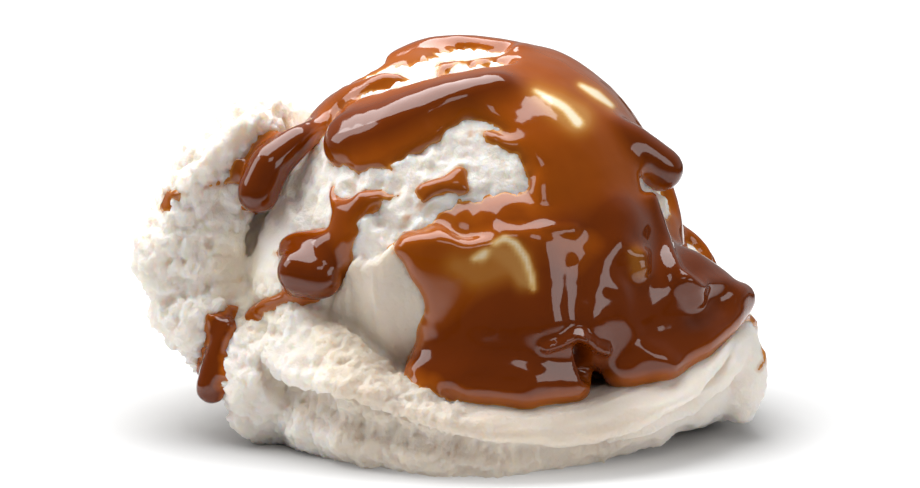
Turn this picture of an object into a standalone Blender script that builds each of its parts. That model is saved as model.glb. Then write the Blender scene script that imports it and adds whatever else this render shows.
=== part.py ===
"""Ice cream sundae: a scoop with a rolled skirt and a torn flap, under poured caramel.

The scoop is one solid: a ball, two spun rings, a core, a spun flap and a few lumps become
one skin in a voxel remesh, and relief is pushed into that skin. The caramel is a second,
thicker skin over the first. The ice cream, grown by a small gap, is cut out of it, and
each piece of sauce that is left is a solid of its own.

Lengths are millimetres until the last step, which scales each mesh to metres. X runs to
the right, Y away from the viewer and Z up, and the table is at Z = 0.
"""
import math

import bmesh
import bpy
import numpy as np
from mathutils import Matrix
from mathutils import Vector
from mathutils.bvhtree import BVHTree

METRES_PER_MM = 0.001

# Driving dimensions
BALL_CENTRE = (3.3, 1.0, 29.6)
BALL_RADII = (31.4, 31.0, 30.8)
BALL_WOBBLE = 0.9
RING_AXIS = (5.2, 1.0)
RING_WOBBLE = 0.8
CORE_RADIUS = 31.0
CORE_HEIGHT = 12.0
GAP = 0.35
VOXEL = 0.9
DROP_STEPS = 6
SINK = 2.5
ICE_CREAM_TRIANGLES = 6400
SAUCE_SKIN_TRIANGLES = 7400
SMALLEST_PIECE = 40.0
PINCH_ROUNDS = 3

# How the photograph sees the object: pixels for each mm, the pixel of the origin,
# the camera's tilt and its distance
PIXELS_PER_MM = 6.29
ORIGIN_PIXEL = (453.0, 427.0)
VIEW_TILT = math.radians(11.0)
VIEW_DISTANCE = 800.0
VIEW_TARGET = (1.1, 0.0, 29.6)

# Rings: azimuth in degrees, radius and height of the section's middle, its half width
# and half height. Azimuth 270 faces the viewer.
ROLL_STATIONS = [
    (181, 33.5, 12.5, 6.5, 6.5),
    (198, 34.5, 14.0, 6.5, 7.0),
    (214, 32.6, 16.5, 7.5, 7.6),
    (231, 32.5, 13.2, 7.5, 6.4),
    (249, 33.2, 9.4, 7.2, 4.8),
    (266, 34.0, 7.9, 6.8, 4.0),
    (288, 35.0, 7.5, 6.8, 4.1),
    (308, 36.0, 9.0, 6.4, 4.2),
    (328, 37.2, 12.2, 5.8, 4.3),
    (350, 38.2, 16.0, 5.4, 4.2),
    (15, 36.5, 14.6, 5.8, 5.0),
    (50, 34.5, 11.0, 6.5, 5.5),
    (90, 33.5, 9.0, 6.5, 5.8),
    (130, 33.0, 10.0, 6.5, 6.2),
    (160, 33.0, 11.0, 6.5, 6.5),
]
FOOT_STATIONS = [
    (181, 32.0, 8.5, 8.2, 9.5),
    (196, 32.0, 9.0, 8.2, 9.6),
    (213, 30.5, 6.4, 8.0, 7.4),
    (231, 29.5, 5.2, 8.0, 6.0),
    (250, 30.6, 3.8, 8.0, 4.6),
    (269, 30.4, 2.8, 8.0, 3.6),
    (288, 29.0, 2.8, 8.0, 3.4),
    (308, 28.6, 4.4, 8.0, 4.0),
    (328, 30.0, 7.4, 8.0, 5.6),
    (345, 32.6, 9.2, 8.4, 8.0),
    (355, 34.2, 9.6, 8.8, 9.0),
    (20, 33.5, 8.6, 8.2, 8.6),
    (60, 31.8, 7.0, 8.0, 7.4),
    (90, 30.5, 6.2, 8.0, 6.8),
    (130, 30.5, 6.8, 8.2, 7.2),
    (160, 31.5, 8.0, 8.2, 8.4),
]
# Flap: its C-shaped section as radius, height and half thickness, and its sweep as
# azimuth, radius scale and height scale
FLAP_SECTION = [
    (37.5, 10.5, 5.0),
    (42.0, 14.5, 6.0),
    (45.4, 20.6, 7.0),
    (46.9, 28.3, 8.0),
    (44.8, 35.6, 6.0),
    (41.2, 42.4, 5.4),
    (36.8, 47.2, 4.4),
]
FLAP_SWEEP = [
    (192, 1.00, 1.00),
    (178, 1.00, 1.02),
    (160, 0.98, 1.00),
    (142, 0.94, 0.92),
    (124, 0.87, 0.78),
    (108, 0.75, 0.60),
    (92, 0.60, 0.42),
]
# Lumps: centre and half sizes
LUMPS = {
    "right bulge": ((45.6, -6.0, 10.0), (4.2, 6.0, 8.0)),
    "left block": ((-29.6, -11.5, 10.0), (6.6, 7.5, 10.0)),
    "right flare": ((31.0, 5.0, 17.0), (12.5, 13.0, 14.0)),
    "left layer": ((-20.5, -5.0, 24.0), (11.5, 15.0, 17.0)),
    "flap root": ((-29.0, 9.0, 26.0), (10.0, 9.0, 17.0)),
    "saddle": ((-31.0, -3.0, 14.0), (8.0, 10.0, 11.0)),
    "flap foot": ((-40.5, -5.0, 19.5), (6.5, 7.0, 6.5)),
    "flap middle": ((-42.4, -3.0, 28.6), (7.8, 8.0, 8.0)),
    "flap shoulder": ((-37.0, 0.0, 42.0), (6.6, 8.0, 6.6)),
    "flap tip": ((-32.4, 1.0, 47.4), (4.8, 6.5, 4.6)),
    "crevice floor": ((-31.0, 3.0, 22.0), (7.5, 9.0, 11.5)),
}
# Where the ice cream is torn and crumbly: a line, its radius, the soft edge's width and
# how deep the crags are
CRUMBLY = {
    "flap face": ([(-43, -6, 14), (-46, -4, 28), (-40, -2, 42), (-31, 2, 48)], 9.5, 4.0, 1.0),
    "left end": ([(-31, -12, 4), (-31, -13, 16)], 9.0, 4.0, 0.95),
    "rim": ([(-26, -19, 20), (-14, -30, 13), (-4, -35, 9)], 5.5, 4.0, 0.75),
    "left foot": ([(-30, -18, 3), (-14, -32, 3), (4, -37, 2)], 5.0, 4.0, 0.7),
    "back foot": ([(-30, 22, 4), (-4, 36, 4), (28, 28, 4), (44, 6, 4)], 6.0, 6.0, 0.45),
    "flap back": ([(-34, 14, 34), (-20, 28, 26)], 8.0, 8.0, 0.35),
}
# The torn edge of the ball's front layer, in pixels, which stands LEDGE_STEP proud below
LEDGE_PIXELS = [(322, 330), (348, 268), (357, 258), (380, 258), (402, 240), (505, 232), (640, 262)]
LEDGE_STEP = 2.0
HOLLOW_LINE = [(-17.5, -24, 27), (-16.5, -26, 19), (-12.5, -30, 13)]
HOLLOW_RADIUS = 3.5
HOLLOW_DEPTH = 2.2

# Sheets of sauce: thickness, and the outline as the photograph shows it, in pixels.
# An outline that meets the object's own edge in the view runs past it.
SHEETS = {
    "pour": (1.9, [
        (332, 130), (338, 115), (350, 106), (366, 99), (400, 89), (445, 76), (480, 69),
        (512, 66), (498, 54), (515, 44), (560, 44), (600, 66), (640, 100), (690, 140),
        (694, 176), (672, 187), (658, 170), (648, 180), (636, 175), (640, 192), (655, 191),
        (666, 226), (670, 202), (684, 205), (694, 240), (702, 282), (722, 276), (740, 276),
        (755, 294), (742, 312), (730, 328), (711, 343), (690, 357), (665, 375), (630, 380),
        (597, 378), (586, 350), (578, 345), (588, 366), (591, 381), (565, 398), (530, 404),
        (470, 401), (420, 396), (404, 380), (412, 350), (426, 312), (418, 282), (394, 245),
        (402, 232), (430, 230), (438, 222), (460, 240), (480, 236), (496, 215), (527, 222),
        (529, 190), (520, 165), (518, 148), (490, 121), (463, 119), (440, 136), (415, 152),
        (385, 168), (358, 173), (338, 160),
    ]),
    "left flow": (2.2, [
        (408, 74), (385, 76), (350, 88), (320, 104), (296, 132), (268, 128), (252, 146),
        (241, 180), (240, 206), (254, 216), (266, 204), (288, 161), (317, 142), (338, 112),
        (362, 96), (400, 80),
    ]),
    "crest": (1.5, [
        (340, 88), (372, 55), (430, 25), (500, 32), (516, 50), (482, 45), (466, 52),
        (437, 54), (396, 64), (362, 79), (348, 92),
    ]),
    "bulb": (2.4, [
        (279, 242), (297, 232), (331, 229), (330, 184), (340, 198), (358, 188), (386, 187),
        (367, 209), (357, 234), (346, 268), (331, 286), (314, 304), (297, 299), (280, 290),
    ]),
}
# Thick places: height over the ice cream, and a line of places in pixels with their
# radius in mm
RIDGES = {
    "arm": (3.0, [(356, 142, 4.4), (385, 132, 4.6), (440, 106, 3.6), (500, 92, 3.2)]),
    "strand": (2.6, [(640, 184, 1.0), (656, 222, 1.6), (676, 262, 2.6), (698, 290, 3.4)]),
    "drip": (2.0, [(222, 318, 1.4), (212, 345, 1.9), (208, 384, 2.0)]),
}
# Rounded masses of sauce that stand clear of the ice cream: stops as X, Y, Z and radius
DROPS = {
    "left end": [
        (-20.0, -2.0, 49.6, 1.6), (-24.5, -8.0, 47.5, 2.6),
        (-28.6, -10.5, 44.3, 3.4), (-30.5, -11.5, 40.0, 3.5),
    ],
    "bulb": [(-23.6, -20.6, 29.2, 3.9), (-20.6, -21.6, 28.6, 3.6)],
    "drip": [(-35.4, -12.6, 19.0, 1.6), (-37.6, -12.6, 13.0, 2.0), (-38.2, -12.4, 8.8, 2.6)],
    "right blob": [(19.0, -11.0, 51.5, 3.2), (27.5, -10.0, 47.2, 3.7), (32.8, -8.4, 43.2, 3.6)],
    "front lobe": [
        (-3.3, -29.2, 14.8, 4.3), (3.0, -31.6, 14.9, 5.1), (11.0, -32.0, 14.3, 5.1),
        (17.0, -30.2, 13.8, 4.4),
    ],
    "right lobe": [
        (26.6, -26.2, 15.6, 4.0), (31.0, -24.0, 16.2, 4.2), (37.0, -18.6, 18.0, 4.2),
        (42.0, -12.4, 20.8, 3.7), (45.5, -7.4, 22.3, 2.6),
    ],
    "belly left": [(1.4, -21.9, 31.5, 9.0), (0.8, -25.0, 22.5, 6.8)],
    "belly": [(8.0, -22.6, 31.0, 10.0), (6.6, -26.9, 22.5, 8.1)],
    "belly middle": [(14.5, -21.8, 31.0, 10.0), (13.0, -26.9, 22.5, 8.1)],
    "belly right": [(21.0, -18.6, 31.0, 10.0), (19.6, -24.8, 22.5, 7.7)],
    "belly side": [(26.0, -15.0, 31.0, 9.5), (25.6, -21.2, 23.0, 7.4)],
    "right fill": [
        (25.0, -21.0, 23.0, 7.4), (30.6, -17.4, 24.8, 7.0), (35.6, -12.6, 26.0, 5.6),
        (40.4, -9.0, 24.4, 3.8),
    ],
}
# Rounds of averaging: the scoop's smooth masses, the sauce's skin, the creases between
# masses of sauce, and how far from those masses the creases are filled
BASE_ROUNDS = 4
SAUCE_ROUNDS = 6
CREASE_ROUNDS = 45
CREASE_REACH = 3.0
VALLEY_ROUNDS = 16
# Runs on the far side: height, and azimuth and elevation about the ball with the radius
FAR_RUNS = {
    "cap": (2.0, [(95, 80, 14.0), (60, 62, 11.0)]),
    "right": (2.0, [(-20, 62, 10.0), (2, 40, 9.0), (10, 20, 7.0), (2, 2, 8.0), (-8, -12, 8.0)]),
    "far right": (2.0, [(35, 58, 9.0), (30, 36, 8.0), (28, 18, 6.0), (26, 2, 6.0), (20, -8, 7.0)]),
    "far middle": (2.2, [(75, 62, 9.0), (70, 40, 7.0), (66, 18, 5.5), (62, -2, 4.6), (60, -12, 4.8)]),
    "far left": (2.4, [(110, 66, 8.0), (118, 48, 5.5), (122, 30, 4.2), (124, 16, 4.6)]),
}
BLEND_WIDTH = 0.9
RAY_START = 1.2
EDGE_WIDTH = 2.0
EDGE_SLOPE = 1.6
STEEPEST_SEEN = 0.05

# Pieces of sauce: each solid's name and a point near it
SAUCE_PIECES = {
    "caramel_pour": (12.0, -30.0, 30.0),
    "caramel_bulb": (-22.0, -20.0, 24.0),
    "caramel_drip": (-38.2, -12.4, 8.8),
}

# Finishes: colour, roughness
ICE_CREAM_FINISH = ((0.82, 0.75, 0.64), 0.55)
CARAMEL_FINISH = ((0.17, 0.045, 0.006), 0.15)


class Noise:
    """Seeded gradient and cell noise that works on whole arrays of points."""

    def __init__(self, seed):
        """Draws the hash table, the gradients and the cell points."""
        draw = np.random.default_rng(seed)
        self.table = np.tile(draw.permutation(256), 3)
        slopes = draw.normal(size=(256, 3))
        self.slopes = slopes / np.linalg.norm(slopes, axis=1)[:, None]
        self.jitter = draw.random((256, 3))

    def hashed(self, cell):
        """A repeatable number from 0 to 255 for each whole-number cell."""
        inner = self.table[cell[:, 0] & 255] + (cell[:, 1] & 255)
        return self.table[self.table[inner] + (cell[:, 2] & 255)]

    def smooth(self, points):
        """Gradient noise, about -1 to 1."""
        cell = np.floor(points).astype(int)
        local = points - cell
        ease = local ** 3 * (local * (local * 6 - 15) + 10)
        total = np.zeros(len(points))
        for corner in np.ndindex(2, 2, 2):
            slope = self.slopes[self.hashed(cell + corner)]
            weight = np.prod(np.where(corner, ease, 1 - ease), axis=1)
            total += weight * np.sum(slope * (local - corner), axis=1)
        return total * 1.6

    def layered(self, points, octaves):
        """Gradient noise in octaves, each half as strong as the last."""
        total = np.zeros(len(points))
        for octave in range(octaves):
            total += self.smooth(points * 2.03 ** octave + 17.3 * octave) * 0.5 ** octave
        return total

    def cells(self, points):
        """Distance to the nearest of the points scattered one to a cell."""
        cell = np.floor(points).astype(int)
        nearest = np.full(len(points), 9.0)
        for corner in np.ndindex(3, 3, 3):
            beside = cell + np.array(corner) - 1
            centre = beside + self.jitter[self.hashed(beside)]
            nearest = np.minimum(nearest, np.linalg.norm(points - centre, axis=1))
        return nearest


NOISE = Noise(11)


def ease_between(low, high, value):
    """A smooth step from 0 at low to 1 at high."""
    t = np.clip((value - low) / (high - low), 0, 1)
    return t * t * (3 - 2 * t)


def around(azimuth, stations, column):
    """A smooth periodic curve through one column of the stations."""
    ordered = np.array(sorted(stations), float)
    angle = np.concatenate([ordered[-2:, 0] - 360, ordered[:, 0], ordered[:2, 0] + 360])
    value = np.concatenate([ordered[-2:, column], ordered[:, column], ordered[:2, column]])
    at = np.mod(azimuth, 360.0)
    i = np.clip(np.searchsorted(angle, at, side="right") - 1, 1, len(angle) - 3)
    span = angle[i + 1] - angle[i]
    t = (at - angle[i]) / span
    slope_in = (value[i + 1] - value[i - 1]) / (angle[i + 1] - angle[i - 1]) * span
    slope_out = (value[i + 2] - value[i]) / (angle[i + 2] - angle[i]) * span
    start = (2 * t ** 3 - 3 * t ** 2 + 1) * value[i] + (t ** 3 - 2 * t ** 2 + t) * slope_in
    end = (3 * t ** 2 - 2 * t ** 3) * value[i + 1] + (t ** 3 - t ** 2) * slope_out
    return start + end


def object_from(bm, name):
    """Moves a bmesh into a new object of the scene."""
    mesh = bpy.data.meshes.new(name)
    bm.to_mesh(mesh)
    bm.free()
    made = bpy.data.objects.new(name, mesh)
    bpy.context.scene.collection.objects.link(made)
    return made


def reshape(bm, rule):
    """Moves every vertex by a rule that takes and returns an array of points."""
    moved = rule(np.array([vert.co for vert in bm.verts]))
    for vert, place in zip(bm.verts, moved):
        vert.co = place


def about_axis(azimuth, radius, height):
    """Points round the rings' axis."""
    turn = np.radians(azimuth)
    x = RING_AXIS[0] + radius * np.cos(turn)
    y = RING_AXIS[1] + radius * np.sin(turn)
    return np.stack([x, y, height], axis=1)


def make_ball():
    """The ball that the scoop left, a little uneven."""
    bm = bmesh.new()
    bmesh.ops.create_icosphere(bm, subdivisions=5, radius=1.0)

    def rule(points):
        swell = BALL_WOBBLE * NOISE.layered(points * 1.3 + 5.0, 2)
        return points * np.array(BALL_RADII) + points * swell[:, None] + np.array(BALL_CENTRE)

    reshape(bm, rule)
    return object_from(bm, "ball")


def make_ring(name, stations):
    """A spun ring whose section follows the stations."""
    bm = bmesh.new()
    path = 4.0
    bmesh.ops.create_circle(bm, segments=28, radius=1.0, cap_ends=False)
    stand = Matrix.Translation((path, 0, 0)) @ Matrix.Rotation(math.pi / 2, 4, "X")
    bmesh.ops.transform(bm, matrix=stand, verts=bm.verts)
    outline = bm.verts[:] + bm.edges[:]
    bmesh.ops.spin(bm, geom=outline, cent=(0, 0, 0), axis=(0, 0, 1), angle=2 * math.pi,
                   steps=160, use_merge=True)

    def rule(points):
        azimuth = np.degrees(np.arctan2(points[:, 1], points[:, 0]))
        across = np.hypot(points[:, 0], points[:, 1]) - path
        radius, height, half_width, half_height = (around(azimuth, stations, k) for k in (1, 2, 3, 4))
        turn = np.radians(azimuth)
        seat = np.stack([np.cos(turn), np.sin(turn), np.zeros(len(turn))], axis=1) * 3
        radius = radius + RING_WOBBLE * NOISE.layered(seat + 3.1, 2)
        height = height + RING_WOBBLE * 0.5 * NOISE.layered(seat + 8.7, 2)
        return about_axis(azimuth, radius + half_width * across, height + half_height * points[:, 2])

    reshape(bm, rule)
    bmesh.ops.recalc_face_normals(bm, faces=bm.faces)
    return object_from(bm, name)


def make_core():
    """Fills the middle down to the table."""
    bm = bmesh.new()
    bmesh.ops.create_cone(bm, cap_ends=True, segments=64, radius1=CORE_RADIUS,
                          radius2=CORE_RADIUS, depth=CORE_HEIGHT)
    middle = (RING_AXIS[0], RING_AXIS[1], CORE_HEIGHT / 2)
    bmesh.ops.translate(bm, vec=middle, verts=bm.verts)
    return object_from(bm, "core")


def flap_outline():
    """The closed outline of the flap's section, as points of radius and height."""
    line = np.array(FLAP_SECTION, float)
    steps = np.linspace(0, len(line) - 1, 18)
    line = np.stack([np.interp(steps, np.arange(len(line)), line[:, k]) for k in range(3)], axis=1)
    for _ in range(6):
        line[1:-1] = (line[:-2] + 2 * line[1:-1] + line[2:]) / 4
    along = np.gradient(line[:, :2], axis=0)
    along /= np.linalg.norm(along, axis=1)[:, None]
    across = np.stack([along[:, 1], -along[:, 0]], axis=1)
    outer = line[:, :2] + across * line[:, 2:3]
    inner = line[:, :2] - across * line[:, 2:3]

    def round_end(k, facing):
        side = across[k] * facing
        ahead = along[k] * facing
        turns = np.linspace(0, math.pi, 7)[1:-1]
        return [line[k, :2] + (math.cos(a) * side + math.sin(a) * ahead) * line[k, 2] for a in turns]

    return list(outer) + round_end(-1, 1) + list(inner[::-1]) + round_end(0, -1)


def make_flap():
    """The petal that curls up on the left: its section spun part of the way round."""
    bm = bmesh.new()
    corners = [bm.verts.new((radius, 0, height)) for radius, height in flap_outline()]
    face = bm.faces.new(corners)
    first, last = FLAP_SWEEP[0][0], FLAP_SWEEP[-1][0]
    to_start = Matrix.Rotation(math.radians(first), 3, "Z")
    bmesh.ops.rotate(bm, verts=bm.verts, cent=(0, 0, 0), matrix=to_start)
    swept = bm.verts[:] + bm.edges[:] + [face]
    bmesh.ops.spin(bm, geom=swept, cent=(0, 0, 0), axis=(0, 0, 1),
                   angle=math.radians(last - first), steps=30)
    bmesh.ops.holes_fill(bm, edges=bm.edges)
    sweep = np.array(sorted(FLAP_SWEEP), float)

    def rule(points):
        azimuth = np.mod(np.degrees(np.arctan2(points[:, 1], points[:, 0])), 360)
        wider = np.interp(azimuth, sweep[:, 0], sweep[:, 1])
        taller = np.interp(azimuth, sweep[:, 0], sweep[:, 2])
        radius = np.hypot(points[:, 0], points[:, 1]) * wider
        return about_axis(azimuth, radius, points[:, 2] * taller)

    reshape(bm, rule)
    bmesh.ops.recalc_face_normals(bm, faces=bm.faces)
    return object_from(bm, "flap")


def make_lump(name, centre, radii):
    """A rounded lump."""
    bm = bmesh.new()
    bmesh.ops.create_icosphere(bm, subdivisions=4, radius=1.0)
    place = Matrix.Translation(centre) @ Matrix.Diagonal((*radii, 1))
    bmesh.ops.transform(bm, matrix=place, verts=bm.verts)
    return object_from(bm, name)


def applied(item):
    """Applies an object's modifiers and returns the object."""
    graph = bpy.context.evaluated_depsgraph_get()
    mesh = bpy.data.meshes.new_from_object(item.evaluated_get(graph))
    old = item.data
    item.modifiers.clear()
    item.data = mesh
    bpy.data.meshes.remove(old)
    return item


def make_drop(name, stops):
    """A hanging drop: balls close together along its stops."""
    line = np.array(stops, float)
    steps = np.linspace(0, len(line) - 1, (len(line) - 1) * DROP_STEPS + 1)
    bm = bmesh.new()
    for at in steps:
        x, y, z, radius = (np.interp(at, np.arange(len(line)), line[:, k]) for k in range(4))
        place = Matrix.Translation((x, y, z))
        bmesh.ops.create_icosphere(bm, subdivisions=3, radius=radius, matrix=place)
    return object_from(bm, name)


def joined_skin(parts, name):
    """Closed parts joined and remeshed into one skin."""
    bm = bmesh.new()
    for piece in parts:
        bm.from_mesh(piece.data)
        bpy.data.objects.remove(piece)
    skin = object_from(bm, name)
    remesh = skin.modifiers.new("one skin", "REMESH")
    remesh.mode = "VOXEL"
    remesh.voxel_size = VOXEL
    return applied(skin)


def make_base_skin():
    """The smooth scoop: all its masses as one skin."""
    parts = [make_ball(), make_ring("roll", ROLL_STATIONS), make_ring("foot", FOOT_STATIONS)]
    parts += [make_core(), make_flap()]
    parts += [make_lump(name, centre, radii) for name, (centre, radii) in LUMPS.items()]
    return joined_skin(parts, "skin")


def points_of(mesh):
    """The mesh's vertices as an array."""
    flat = np.empty(len(mesh.vertices) * 3)
    mesh.vertices.foreach_get("co", flat)
    return flat.reshape(-1, 3)


def set_points(mesh, points):
    """Moves the mesh's vertices."""
    mesh.vertices.foreach_set("co", np.ascontiguousarray(points).ravel())
    mesh.update()


def normals_of(mesh):
    """The mesh's vertex normals as an array."""
    flat = np.empty(len(mesh.vertices) * 3, np.float32)
    mesh.vertex_normals.foreach_get("vector", flat)
    return flat.reshape(-1, 3).astype(float)


def edges_of(mesh):
    """The mesh's edges as an array of vertex pairs."""
    flat = np.empty(len(mesh.edges) * 2, np.int64)
    mesh.edges.foreach_get("vertices", flat)
    return flat.reshape(-1, 2)


def relaxed(values, edges, rounds):
    """Values averaged with their neighbours, half-way each round."""
    count = len(values)
    degree = np.maximum(np.bincount(edges.ravel(), minlength=count), 1)
    for _ in range(rounds):
        mean = np.empty_like(values)
        for k in range(values.shape[1]):
            ahead = np.bincount(edges[:, 0], values[edges[:, 1], k], count)
            behind = np.bincount(edges[:, 1], values[edges[:, 0], k], count)
            mean[:, k] = (ahead + behind) / degree
        values = (values + mean) / 2
    return values


def eye_point():
    """The camera's place."""
    ahead = Vector((0, math.cos(VIEW_TILT), -math.sin(VIEW_TILT)))
    return Vector(VIEW_TARGET) - ahead * VIEW_DISTANCE


def view_up():
    """The direction that is up in the view."""
    return Vector((0, math.sin(VIEW_TILT), math.cos(VIEW_TILT)))


def pixels_of(points):
    """Where points show in the photograph, in pixels."""
    eye = np.array(eye_point())
    up = np.array(view_up())
    ahead = np.array((0, math.cos(VIEW_TILT), -math.sin(VIEW_TILT)))
    reach = points - eye
    stretch = (-eye @ ahead) / (reach @ ahead)
    across = eye[0] + reach[:, 0] * stretch
    height = eye @ up + (reach @ up) * stretch
    x = ORIGIN_PIXEL[0] + across * PIXELS_PER_MM
    y = ORIGIN_PIXEL[1] - height * PIXELS_PER_MM
    return np.stack([x, y], axis=1)


def seen_point(tree, x, y):
    """The point of the surface that the photograph shows at a pixel."""
    across = (x - ORIGIN_PIXEL[0]) / PIXELS_PER_MM
    height = (ORIGIN_PIXEL[1] - y) / PIXELS_PER_MM
    on_plane = Vector((across, 0, 0)) + view_up() * height
    eye = eye_point()
    hit = tree.ray_cast(eye, (on_plane - eye).normalized())[0]
    return hit or tree.find_nearest(on_plane)[0]


def far_point(tree, azimuth, elevation):
    """The point of the surface in a direction from the ball's centre."""
    turn, rise = math.radians(azimuth), math.radians(elevation)
    level = math.cos(rise)
    outward = Vector((level * math.cos(turn), level * math.sin(turn), math.sin(rise)))
    return tree.ray_cast(Vector(BALL_CENTRE) + outward * 150, -outward)[0]


def line_on_surface(stops, place):
    """Stops along a run, closer together: points on the surface and their radii."""
    stops = np.array(stops, float)
    steps = np.linspace(0, len(stops) - 1, (len(stops) - 1) * 4 + 1)
    fine = [np.interp(steps, np.arange(len(stops)), stops[:, k]) for k in range(3)]
    points = [place(x, y) for x, y in zip(fine[0], fine[1])]
    return np.array(points), fine[2]


def distance_to_line(points, line, radii):
    """Distance from each point to a chain of tapered rods, less than 0 inside."""
    nearest = np.full(len(points), 1e9)
    for start, end, first, last in zip(line[:-1], line[1:], radii[:-1], radii[1:]):
        along = end - start
        t = np.clip((points - start) @ along / max(along @ along, 1e-9), 0, 1)
        gap = np.linalg.norm(points - start - t[:, None] * along, axis=1)
        nearest = np.minimum(nearest, gap - first - (last - first) * t)
    return nearest


def distance_to_outline(pixels, outline):
    """Distance in mm from each pixel place to an outline, less than 0 inside."""
    corners = np.array(outline, float)
    nearest = np.full(len(pixels), 1e9)
    inside = np.zeros(len(pixels), bool)
    for start, end in zip(corners, np.roll(corners, -1, axis=0)):
        along = end - start
        t = np.clip((pixels - start) @ along / (along @ along), 0, 1)
        nearest = np.minimum(nearest, np.linalg.norm(pixels - start - t[:, None] * along, axis=1))
        crosses = (pixels[:, 1] < start[1]) != (pixels[:, 1] < end[1])
        rise = along[1] if along[1] else 1.0
        at = start[0] + (pixels[:, 1] - start[1]) * along[0] / rise
        inside ^= crosses & (pixels[:, 0] < at)
    return np.where(inside, -nearest, nearest) / PIXELS_PER_MM


def blended_max(a, b, width):
    """The larger of two heights, with a rounded valley where they meet."""
    t = np.clip(0.5 + 0.5 * (a - b) / width, 0, 1)
    return b * (1 - t) + a * t + width * t * (1 - t)


def rounded_height(distance, height):
    """A drop's height over its footing: a rounded edge, and below the surface outside."""
    inward = np.clip(-distance / max(height * 1.1, EDGE_WIDTH / 2), 0, 1)
    return np.where(distance < 0, height * np.sqrt(1 - (1 - inward) ** 2), -distance * EDGE_SLOPE)


def in_sight(points, normals, tree):
    """True for points that face the camera with nothing in front of them."""
    eye = eye_point()
    toward = np.array(eye) - points
    toward /= np.linalg.norm(toward, axis=1)[:, None]
    facing = np.sum(normals * toward, axis=1) > STEEPEST_SEEN
    for k in np.flatnonzero(facing):
        start = Vector(points[k] + normals[k] * RAY_START)
        if tree.ray_cast(start, (eye - start).normalized())[0] is not None:
            facing[k] = False
    return facing


def sauce_height(points, normals, tree):
    """Height of the sauce over the ice cream, less than 0 where there is none."""
    pixels = pixels_of(points)
    seen = in_sight(points, normals, tree)
    height = np.full(len(points), -SINK)
    for thickness, outline in SHEETS.values():
        sheet = rounded_height(distance_to_outline(pixels, outline), thickness)
        height = np.where(seen, np.maximum(height, sheet), height)
    for runs, find, near_side in ((RIDGES, seen_point, True), (FAR_RUNS, far_point, False)):
        for thickness, stops in runs.values():
            line, radii = line_on_surface(stops, lambda first, second: find(tree, first, second))
            mound = rounded_height(distance_to_line(points, line, radii), thickness)
            taller = blended_max(height, mound, BLEND_WIDTH)
            height = np.where(seen == near_side, taller, height)
    return np.maximum(height, -SINK)


def fill_creases(item):
    """Fills the creases between the masses of sauce, as sauce flows together."""
    points = points_of(item.data)
    edges = edges_of(item.data)
    near = np.full(len(points), 1e9)
    for stops in DROPS.values():
        line = np.array(stops, float)
        near = np.minimum(near, distance_to_line(points, line[:, :3], line[:, 3]))
    weight = ease_between(CREASE_REACH, 0.0, near)
    for _ in range(CREASE_ROUNDS):
        normals = normals_of(item.data)
        pull = np.sum((relaxed(points, edges, 1) - points) * normals, axis=1)
        points = points + normals * (np.maximum(pull, 0) * weight)[:, None]
        set_points(item.data, points)


def crag_height(points):
    """Rounded crumbs of two sizes."""
    warp = np.stack([NOISE.smooth(points / 5 + k * 13.7) for k in range(3)], axis=1) * 1.4
    coarse = np.sqrt(np.clip(1 - (NOISE.cells((points + warp) / 5.2) / 0.85) ** 2, 0, 1))
    return 1.9 * (coarse - 0.55) + 0.9 * NOISE.layered(points / 8.0 + 3.0, 2)


def relief_height(points, sauce):
    """Height of the ice cream's torn relief along the normal."""
    from_ball = np.linalg.norm(points - np.array(BALL_CENTRE), axis=1) - BALL_RADII[0]
    on_ball = ease_between(2.5, 0.3, from_ball) * ease_between(8.0, 14.0, points[:, 2])
    crumbly = np.full(len(points), 0.1)
    for line, radius, soft, depth in CRUMBLY.values():
        reach = distance_to_line(points, np.array(line, float), np.full(len(line), radius))
        crumbly = np.maximum(crumbly, depth * ease_between(soft, 0.0, reach))
    pixels = pixels_of(points)
    ledge = np.array(LEDGE_PIXELS, float)
    below = (pixels[:, 1] - np.interp(pixels[:, 0], ledge[:, 0], ledge[:, 1])) / PIXELS_PER_MM
    across = ease_between(322, 345, pixels[:, 0]) * ease_between(700, 600, pixels[:, 0])
    front = ease_between(4.0, -6.0, points[:, 1]) * across
    step = LEDGE_STEP * ease_between(-0.4, 0.6, below) * ease_between(22.0, 2.0, below) * front
    radii = np.full(len(HOLLOW_LINE), HOLLOW_RADIUS)
    hollow = distance_to_line(points, np.array(HOLLOW_LINE, float), radii)
    trough = -HOLLOW_DEPTH * ease_between(4.0, -3.0, hollow)
    torn = 0.8 * NOISE.layered(points * (0.22, 0.22, 0.09), 2)
    bare = 1 - 0.7 * ease_between(0.0, 1.2, sauce)
    crags = crag_height(points) * crumbly * (1 - 0.75 * on_ball)
    return (torn * on_ball + crags) * bare + (step + trough) * on_ball


def flat_bottomed(item):
    """Cuts an object off level at the table."""
    bm = bmesh.new()
    bm.from_mesh(item.data)
    everything = bm.verts[:] + bm.edges[:] + bm.faces[:]
    bmesh.ops.bisect_plane(bm, geom=everything, dist=1e-4, plane_co=(0, 0, 0),
                           plane_no=(0, 0, 1), clear_inner=True)
    rim = [edge for edge in bm.edges if edge.is_boundary]
    bmesh.ops.triangle_fill(bm, edges=rim, use_beauty=True, use_dissolve=False)
    bmesh.ops.triangulate(bm, faces=bm.faces)
    bmesh.ops.recalc_face_normals(bm, faces=bm.faces)
    bm.to_mesh(item.data)
    bm.free()


def thinned(item, ratio):
    """Decimates an object to a share of its triangles."""
    modifier = item.modifiers.new("thin", "DECIMATE")
    modifier.ratio = ratio
    return applied(item)


def thinned_to(item, triangles):
    """Decimates an object of four-sided faces to about a number of triangles."""
    return thinned(item, triangles / (2 * len(item.data.polygons)))


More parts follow.
